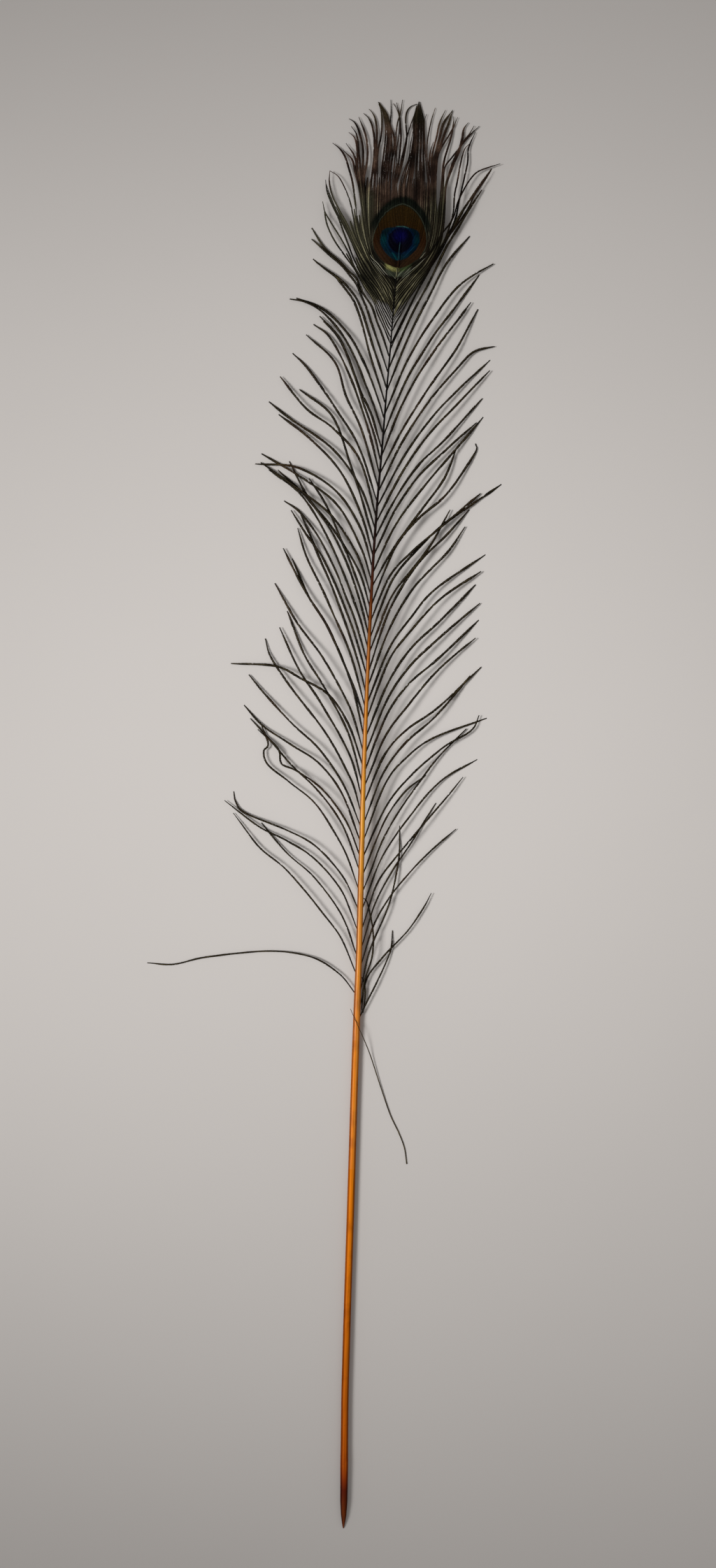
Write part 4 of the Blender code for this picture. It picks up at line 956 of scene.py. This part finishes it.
# The shaft: a fine oval tube, pinched at the quill's tip, that dives under the eye's cover.
# Its material changes at the stations of "changes", and "kinds" are their slots.
shaftPlan = {
    "ringEvery": 2.0, "sides": 28, "end": 900.0,
    "dive": 1.2, "diveFrom": 878.0, "diveTo": 892.0,
    "changes": (250.0, 340.0, 560.0, 615.0, 690.0), "kinds": (0, 1, 2, 1, 0, 3),
}
stations = np.arange(0.0, shaftPlan["end"] + 0.1, shaftPlan["ringEvery"])
middle, level, width = shaftAt(stations)
dive = smoothStep(shaftPlan["diveFrom"], shaftPlan["diveTo"], stations)
shaftRoute = np.stack((middle, stations, level - shaftPlan["dive"] * dive), axis=1)
sides = shaftPlan["sides"]
shaftMesh = newMesh()
addTube(shaftMesh, shaftRoute, width, width * shaftForm["heightToWidth"], sides, 0.5)
shaftAcross = np.cos(2.0 * math.pi * np.arange(sides) / sides)
shaftMesh["across"] = [np.tile(shaftAcross, len(stations))]
stretch = np.searchsorted(shaftPlan["changes"], stations[:-1])
shaftMesh["slots"] = [np.repeat(np.array(shaftPlan["kinds"], np.int32)[stretch], sides)]
shaft = makePiece("shaft", shaftMesh, [dyedQuill, wornShaft, dyedShaft, darkShaft])
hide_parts("feather")


rootDepth = 0.6  # how far below its root a barb starts inside the shaft, in shaft widths


# Where a barb leaves the shaft's flank: a point inside the shaft and one at its edge.
def rootOf(side, root):
    x, level, width = shaftAt(root)
    xBefore, levelBefore, _ = shaftAt(root - rootDepth * width)
    return ((float(xBefore), root - rootDepth * float(width), float(levelBefore)),
            (float(x + side * width / 2.0), root, float(level)))


# Loose herl: a fine dark thread with two rows of short barbules, narrow near the shaft. Its
# barbs arch in turn, so that those that cross pass over each other, and the lowest ones, up
# to the station "fullFrom", are slimmer.
looseHerl = {
    "arches": (0.6, 2.2, 1.3), "tipRises": (0.0, 1.1, 0.4, 1.8), "tipHeight": 0.2,
    "routeStep": 1.5, "pitch": 0.38, "rootReach": 0.50, "reach": 0.78, "tipReach": 0.36,
    "rootWidth": 0.7, "width": 0.36, "tipWidth": 0.2, "lean": 40.0, "slope": 26.0,
    "slimTo": 400.0, "fullFrom": 560.0, "slimShare": 0.72, "toneSpread": 0.12,
    "sides": 5, "flatness": 0.9, "swellPart": (0.02, 0.16), "tipFade": 13.0,
    "waverEvery": 18.0, "waverSize": 0.10, "waverGrowth": 6.0,
    "unevenEvery": 9.0, "unevenSize": 0.10,
}


def looseRoute(side, index, barb):
    root, *course = barb
    inside, edge = rootOf(side, root)
    flat = np.array([inside[:2], edge[:2]] + list(course))
    reach = distancesAlong(flat)
    part = reach / reach[-1]
    tipRise = looseHerl["tipRises"][index % len(looseHerl["tipRises"])]
    tipHeight = looseHerl["tipHeight"] + tipRise
    arch = looseHerl["arches"][index % len(looseHerl["arches"])]
    level = edge[2] + (tipHeight - edge[2]) * part + arch * 4.0 * part * (1.0 - part)
    return smoothRoute(np.column_stack((flat, level)), looseHerl["routeStep"])


# A barb's course with a slight waver from side to side, which grows from nothing at its root.
def wavered(route, total, part, plan):
    _, right = directionsOf(route)
    sideways = wander(len(route), max(2, int(total / plan["waverEvery"])), plan["waverSize"])
    return route + right * (sideways * np.minimum(1.0, part * plan["waverGrowth"]))[:, None]


def addLooseBarb(mesh, route, plan):
    total = lengthOf(route)
    part = np.linspace(0.0, 1.0, len(route))
    route = wavered(route, total, part, plan)
    tone = 0.5 + randomNumbers.normal(0.0, plan["toneSpread"])
    swell = smoothStep(*plan["swellPart"], part)
    fade = smoothStep(1.0 - plan["tipFade"] / total, 1.0, part)
    slim = float(smoothStep(plan["slimTo"], plan["fullFrom"], route[1, 1]))
    slim = plan["slimShare"] + (1.0 - plan["slimShare"]) * slim
    thread = plan["rootWidth"] + (plan["width"] - plan["rootWidth"]) * swell
    thread = (thread + (plan["tipWidth"] - plan["width"]) * fade) * math.sqrt(slim)
    mesh["slot"] = 1
    addTube(mesh, route, thread, thread * plan["flatness"], plan["sides"], tone)
    mesh["slot"] = 0
    reach = plan["rootReach"] + (plan["reach"] - plan["rootReach"]) * swell
    reach = reach + (plan["tipReach"] - plan["reach"]) * fade
    knots = max(2, int(total / plan["unevenEvery"]))
    reach = reach * slim * (1.0 + wander(len(route), knots, plan["unevenSize"]))
    addBarbules(mesh, route, reach, plan, tone)


for name, side, barbs in (("leftBarbs", -1.0, leftBarbs), ("rightBarbs", 1.0, rightBarbs)):
    mesh = newMesh()
    for index, barb in enumerate(barbs):
        addLooseBarb(mesh, looseRoute(side, index, barb), looseHerl)
    piece = makePiece(name, mesh, [herl, ramus])
    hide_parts("feather")

# Close-set herl round and through the eye, and the fringe that it runs out into. Where two
# neighbours leave room at the stations of "roomLow" or "roomHigh", one more barb grows
# between them and ends in the span that "betweenEnds" gives for its place.
closeHerl = {
    "routeStep": 1.4, "pitch": 0.36, "rootWidth": 0.5, "width": 0.34, "tipWidth": 0.18,
    "lean": 44.0, "slope": 8.0, "eyeReach": 1.2, "leastReach": 0.2, "mostReach": 0.62,
    "roomShare": 0.29, "tipReach": 0.16, "eyeSink": 0.14, "rise": 0.5, "stack": 0.12,
    "crossingRise": 0.7, "toneSpread": 0.16, "tipFade": 12.0, "swellPart": (0.0, 0.1),
    "sides": 5, "flatness": 0.9, "waverEvery": 18.0, "waverSize": 0.10, "waverGrowth": 5.0,
    # Threads get thinner and flatter inside the eye's outline, between these shares of it.
    "eyeEdge": (0.92, 1.08), "eyeThinner": 0.4, "eyeFlatter": 0.6,
    "fringeFrom": 938.0, "fringeTo": 953.0, "outsideFrom": 31.0, "outsideTo": 38.0,
    "roomLow": (862.0, 886.0), "roomHigh": (890.0, 912.0), "mostRoom": 9.0,
    "betweenReach": 0.5, "betweenSides": 848.0, "betweenFrom": 870.0, "betweenGap": 2.1,
    "betweenEnds": {"low": (884.0, 896.0), "sides": (916.0, 932.0),
                    "left": (938.0, 962.0), "right": (946.0, 975.0)},
}


# A close-set barb's course: it leaves the shaft and joins the crowned surface of the vane.
def closeRoute(side, index, root, course):
    inside, edge = rootOf(side, root)
    flat = np.array([inside[:2], edge[:2]] + list(course))
    stack = closeHerl["stack"] * (index % 3 - 1)
    level = vaneLevel(flat[:, 0], flat[:, 1]) + closeHerl["rise"] + stack
    level[0] = inside[2]
    level[1] = edge[2]
    return smoothRoute(np.column_stack((flat, level)), closeHerl["routeStep"])


# The plain oval inside a ring of the eye: 1 on its line, less inside it.
def ovalShare(x, station, egg):
    centreX, centreStation, half, down, up, _, _ = egg
    rise = station - centreStation
    return np.hypot((x - centreX) / half, rise / np.where(rise > 0.0, up, down))


# The same route with times as many points.
def finer(route, times):
    picks = np.linspace(0.0, len(route) - 1.0, (len(route) - 1) * times + 1)
    return valuesAt(picks, np.arange(len(route)), route)


# The way from each point of a route to the nearest barb beside it.
def roomBeside(route, others):
    room = np.full(len(route), closeHerl["mostRoom"])
    for other in others:
        fine = finer(other, 4)
        ways = np.linalg.norm(route[:, None, :2] - fine[None, :, :2], axis=2)
        room = np.minimum(room, ways.min(axis=1))
    return room


def addCloseBarb(mesh, route, fringeReach, room, plan):
    total = lengthOf(route)
    part = np.linspace(0.0, 1.0, len(route))
    route = wavered(route, total, part, plan)
    x, station = route[:, 0], route[:, 1]
    tone = 0.5 + randomNumbers.normal(0.0, plan["toneSpread"])
    fade = smoothStep(1.0 - plan["tipFade"] / total, 1.0, part)
    swell = smoothStep(*plan["swellPart"], part)
    thread = plan["rootWidth"] + (plan["width"] - plan["rootWidth"]) * swell
    thread = thread + (plan["tipWidth"] - plan["width"]) * fade
    inEye = 1.0 - smoothStep(*plan["eyeEdge"], ovalShare(x, station, eye["outline"]))
    sunk = route - np.outer(plan["eyeSink"] * inEye, (0.0, 0.0, 1.0))
    addTube(mesh, sunk, thread * (1.0 - plan["eyeThinner"] * inEye),
            thread * (plan["flatness"] - plan["eyeFlatter"] * inEye), plan["sides"], tone)
    inFringe = np.maximum(smoothStep(plan["fringeFrom"], plan["fringeTo"], station),
                          smoothStep(plan["outsideFrom"], plan["outsideTo"], np.abs(x)))
    reach = np.clip(room * plan["roomShare"], plan["leastReach"], plan["mostReach"])
    reach = reach + (fringeReach - reach) * inFringe
    reach = reach + (plan["eyeReach"] - reach) * inEye
    reach = reach + (plan["tipReach"] - reach) * fade
    reach = reach * smoothStep(-0.02, 0.05, part)
    addBarbules(mesh, route, reach, plan, tone)


# The same number of points along every course, so that two can be averaged.
def evened(course, count=24):
    points = np.array(course)
    route = smoothRoute(np.column_stack((points, np.zeros(len(points)))), 1.0)
    picks = np.linspace(0, len(route) - 1, count)
    return valuesAt(picks, np.arange(len(route)), route)[:, :2]


# The course of one more barb between two neighbours, or none where they leave no room.
def courseBetween(side, lower, upper):
    (root, _, *course), (nextRoot, _, *nextCourse) = lower, upper
    route = closeRoute(side, 0, root, course)
    nextRoute = closeRoute(side, 0, nextRoot, nextCourse)
    room = 0.0
    for start, end in (closeHerl["roomLow"], closeHerl["roomHigh"]):
        held = (route[:, 1] > start) & (route[:, 1] < end)
        if held.any():
            room = max(room, roomBeside(route[held], [nextRoute]).mean())
    if root < closeHerl["betweenFrom"] and room < closeHerl["betweenGap"]:
        return None
    place = "low" if root < closeHerl["betweenSides"] else "sides"
    if root >= closeHerl["betweenFrom"]:
        place = "left" if side < 0.0 else "right"
    between = (evened(course) + evened(nextCourse)) / 2.0
    end = randomNumbers.uniform(*closeHerl["betweenEnds"][place])
    return [tuple(point) for point in between[between[:, 1] < end][::2]]


# The web between two neighbouring close-set barbs, where their barbules hook together. It
# starts a little above the last loose barbs and splits where the barbs part, in the fan
# round the eye only where they are further apart.
web = {
    "from": 852.0, "fromSpread": 1.5, "opening": 7.0, "rootOpening": 0.8,
    "holdsTo": 880.0, "gap": 2.5, "fanGap": 4.4, "fanHalfWidth": 26.0, "fanTo": 928.0,
    "gapSpread": (0.85, 1.15), "leftSplit": (939.0, 962.0), "rightSplit": (944.0, 972.0),
    "middleSplit": 936.0, "tuftSplit": 984.0, "tuftReach": 0.75,
    "fray": 16.0, "joined": 0.52, "ragged": (0.9, 1.0), "sink": 0.22, "toneSpread": 0.22,
}


def addWeb(mesh, outer, inner, start, splitAt):
    fine = finer(outer, 5)
    gaps = np.linalg.norm(fine[None, :, :2] - inner[:, None, :2], axis=2)
    nearest = gaps.argmin(axis=1)
    gap = gaps.min(axis=1)
    inFan = (np.abs(inner[:, 0]) < web["fanHalfWidth"]) & (inner[:, 1] < web["fanTo"])
    limit = np.where(inFan, web["fanGap"], web["gap"])
    limit = limit * randomNumbers.uniform(*web["gapSpread"])
    parted = (gap > limit) | (inner[:, 1] > splitAt) | (nearest == len(fine) - 1)
    parted &= inner[:, 1] > web["holdsTo"]
    last = int(np.argmax(parted)) if parted.any() else len(inner) - 1
    reach = distancesAlong(inner)
    first = int(np.argmax(inner[:, 1] > start))
    opening = web["opening"] if first > 1 else web["rootOpening"]
    opened = smoothStep(0.0, opening, reach - reach[first])
    frayed = 1.0 - smoothStep(-web["fray"] / 2.0, web["fray"] / 2.0, reach - reach[last])
    share = web["joined"] * opened * frayed
    kept = np.flatnonzero(share > 0.01)
    if len(kept) < 3:
        return
    kept = np.arange(kept[0], kept[-1] + 1)
    here, there = inner[kept], fine[nearest[kept]]
    sunk = np.array((0.0, 0.0, web["sink"]))
    across = np.tile((0.0, 1.0), len(kept))
    tone = 0.5 + randomNumbers.normal(0.0, web["toneSpread"])
    for near, far in ((here, there), (there, here)):
        ragged = share[kept] * randomNumbers.uniform(*web["ragged"], len(kept))
        edge = near + (far - near) * np.where(share[kept] > 0.5, share[kept], ragged)[:, None]
        addStrip(mesh, near - sunk, edge - sunk, across, tone, near is here)
    # Where it starts at the shaft, one more strip fills it down to the outer barb's root.
    foot = int(nearest[kept[0]])
    if first <= 1 and foot > 2:
        away = fine[1:foot + 1]
        by = outer[0] + (inner[kept[0]] - outer[0]) * np.linspace(0.02, 1.0, foot)[:, None]
        one, two = away[0] - by[0], away[-1] - by[0]
        addStrip(mesh, by - sunk, away - sunk, np.tile((0.0, 1.0), foot), tone,
                 one[0] * two[1] - one[1] * two[0] < 0.0)


# The band of barbules that closes over the shaft inside the eye.
# Its low tone is painted shade, so that the flat band matches the sloped, shaded barbs beside
# it.
cover = {"from": 881.5, "to": 911.0, "shaftTo": 900.0, "width": 1.3, "rise": 0.42,
         "tone": 0.22}

innermost = []
for name, side, barbs in (("leftVane", -1.0, leftCloseBarbs),
                          ("rightVane", 1.0, rightCloseBarbs)):
    mesh = newMesh()
    webMesh = newMesh()
    inOrder = []
    for barb, nextBarb in zip(barbs, barbs[1:] + (None,)):
        root, fringeReach, *course = barb
        inOrder.append((closeRoute(side, len(inOrder), root, course), fringeReach))
        between = courseBetween(side, barb, nextBarb) if nextBarb else None
        if between is None:
            continue
        least = min(fringeReach, nextBarb[1])
        inOrder.append((closeRoute(side, len(inOrder), (root + nextBarb[0]) / 2.0, between),
                        least if least >= web["tuftReach"] else closeHerl["betweenReach"]))
    for index, (route, fringeReach) in enumerate(inOrder):
        beside = inOrder[max(0, index - 2):index] + inOrder[index + 1:index + 3]
        room = roomBeside(route, [other for other, _ in beside])
        addCloseBarb(mesh, route, fringeReach, room, closeHerl)
    if side > 0.0:
        for root, fringeReach, *course in crossingBarbs:
            route = closeRoute(side, 2, root, course)
            route[:, 2] += closeHerl["crossingRise"]
            addCloseBarb(mesh, route, fringeReach, roomBeside(route, []), closeHerl)
    for (outer, outerReach), (inner, innerReach) in zip(inOrder, inOrder[1:]):
        splitAt = randomNumbers.uniform(*web["leftSplit" if side < 0.0 else "rightSplit"])
        if min(outerReach, innerReach) >= web["tuftReach"]:
            splitAt = web["tuftSplit"]
        start = web["from"] + randomNumbers.uniform(-web["fromSpread"], web["fromSpread"])
        addWeb(webMesh, outer, inner, start, splitAt)
    innermost.append(inOrder[-1][0])
    if side > 0.0:
        addWeb(webMesh, innermost[0], innermost[1], web["from"], web["middleSplit"])
        coverStations = np.arange(cover["from"], cover["to"], 1.0)
        coverMiddle, _, _ = shaftAt(np.minimum(coverStations, cover["shaftTo"]))
        coverLevel = vaneLevel(coverMiddle, coverStations) + cover["rise"]
        coverLine = np.column_stack((coverMiddle, coverStations, coverLevel))
        aside = np.array((cover["width"] / 2.0, 0.0, 0.0))
        addStrip(webMesh, coverLine - aside, coverLine + aside, 0.5, cover["tone"])
    for label, made, material in ((name, mesh, herl), (name + "Webs", webMesh, hooked)):
        piece = makePiece(label, made, [material])
        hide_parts("feather")

# Pale rami of the last barbs below the eye, with a painted glint: width, then points as X and
# station.
paleEdges = {
    "rise": 0.9, "ends": 0.3, "flatness": 0.6,
    "edges": (
        (0.52, (-7.0, 876.3), (-10.0, 879.3), (-14.0, 884.0), (-18.0, 887.5), (-20.0, 890.0)),
        (0.26, (-8.8, 876.0), (-11.0, 878.6), (-13.4, 881.2), (-15.6, 883.6), (-17.6, 886.0)),
        (0.24, (-10.8, 876.0), (-14.0, 880.0), (-17.0, 883.8), (-19.5, 887.0)),
        (0.36, (3.1, 876.5), (6.1, 879.5), (9.9, 883.6), (14.0, 887.6), (18.5, 893.4)),
        (0.32, (4.4, 875.9), (8.0, 879.1), (11.9, 882.5), (15.9, 886.5), (20.6, 891.4)),
    ),
}
# Pale satin keratin of the rami, made paler as a painted glint, so that it shows as light lines
# in dark herl.
paleMaterial, paleTree, paleShader = newMaterial("glintingRamusKeratin")
setInputs(paleTree, paleShader, {"Base Color": "#8c8a78", "Roughness": 0.5})
paleMesh = newMesh()
for edgeWidth, *course in paleEdges["edges"]:
    flat = np.array(course)
    level = vaneLevel(flat[:, 0], flat[:, 1]) + paleEdges["rise"]
    route = smoothRoute(np.column_stack((flat, level)), 1.0)
    swell = np.sin(math.pi * np.linspace(0.0, 1.0, len(route))) ** 0.5
    widths = edgeWidth * (paleEdges["ends"] + (1.0 - paleEdges["ends"]) * swell)
    addTube(paleMesh, route, widths, widths * paleEdges["flatness"], 6, 0.5)
piece = makePiece("paleEdges", paleMesh, [paleMaterial])
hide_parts("feather")

# The stray barb: a thin, nearly bare brown thread.
strayPlan = {"tipWidth": 0.35, "width": 0.75, "flatness": 0.6, "routeStep": 1.2}
strayMesh = newMesh()
strayRoute = smoothRoute(strayLine, strayPlan["routeStep"])
strayPart = smoothStep(0.0, 0.35, np.linspace(0.0, 1.0, len(strayRoute)))
strayWidth = strayPlan["tipWidth"] + (strayPlan["width"] - strayPlan["tipWidth"]) * strayPart
addTube(strayMesh, strayRoute, strayWidth, strayWidth * strayPlan["flatness"], 6, 0.5)
piece = makePiece("strayBarb", strayMesh, [ramus])
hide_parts("stray_barb")

# Camera straight above, turned a little so that the feather leans to the right in view.
view = {"at": (-0.0079, 0.3209, 1.525), "turn": 2.475, "lens": 50.0, "sensor": 36.0}
cameraData = bpy.data.cameras.new("camera")
cameraData.lens = view["lens"]
cameraData.sensor_width = view["sensor"]
camera = bpy.data.objects.new("camera", cameraData)
camera.location = view["at"]
camera.rotation_euler = (0.0, 0.0, math.radians(view["turn"]))
bpy.context.scene.collection.objects.link(camera)
bpy.context.scene.camera = camera

# A square soft light from the left, 45 degrees up, whose shadows fall softly to the right,
# and an even fill from all round.
studio = {
    "keyAt": (-1.6, 0.25, 1.6), "keyTo": (0.0, 0.35, 0.0), "keySize": 0.9,
    "keyEnergy": 2.65, "keySpread": 29.0, "fillColour": "#f6f4f2", "fillStrength": 0.33,
}
keyData = bpy.data.lights.new("key", "AREA")
keyData.shape = "RECTANGLE"
keyData.size = studio["keySize"]
keyData.size_y = studio["keySize"]
keyData.energy = studio["keyEnergy"]
keyData.spread = math.radians(studio["keySpread"])
key = bpy.data.objects.new("key", keyData)
key.location = studio["keyAt"]
keyWay = Vector(studio["keyTo"]) - Vector(studio["keyAt"])
key.rotation_euler = keyWay.to_track_quat("-Z", "Y").to_euler()
bpy.context.scene.collection.objects.link(key)
world = bpy.data.worlds.new("studio")
bpy.context.scene.world = world
world.use_nodes = True
setInputs(world.node_tree, world.node_tree.nodes["Background"], {
    "Color": studio["fillColour"], "Strength": studio["fillStrength"]})
bpy.context.scene.view_settings.view_transform = "Standard"
print("lights and camera")
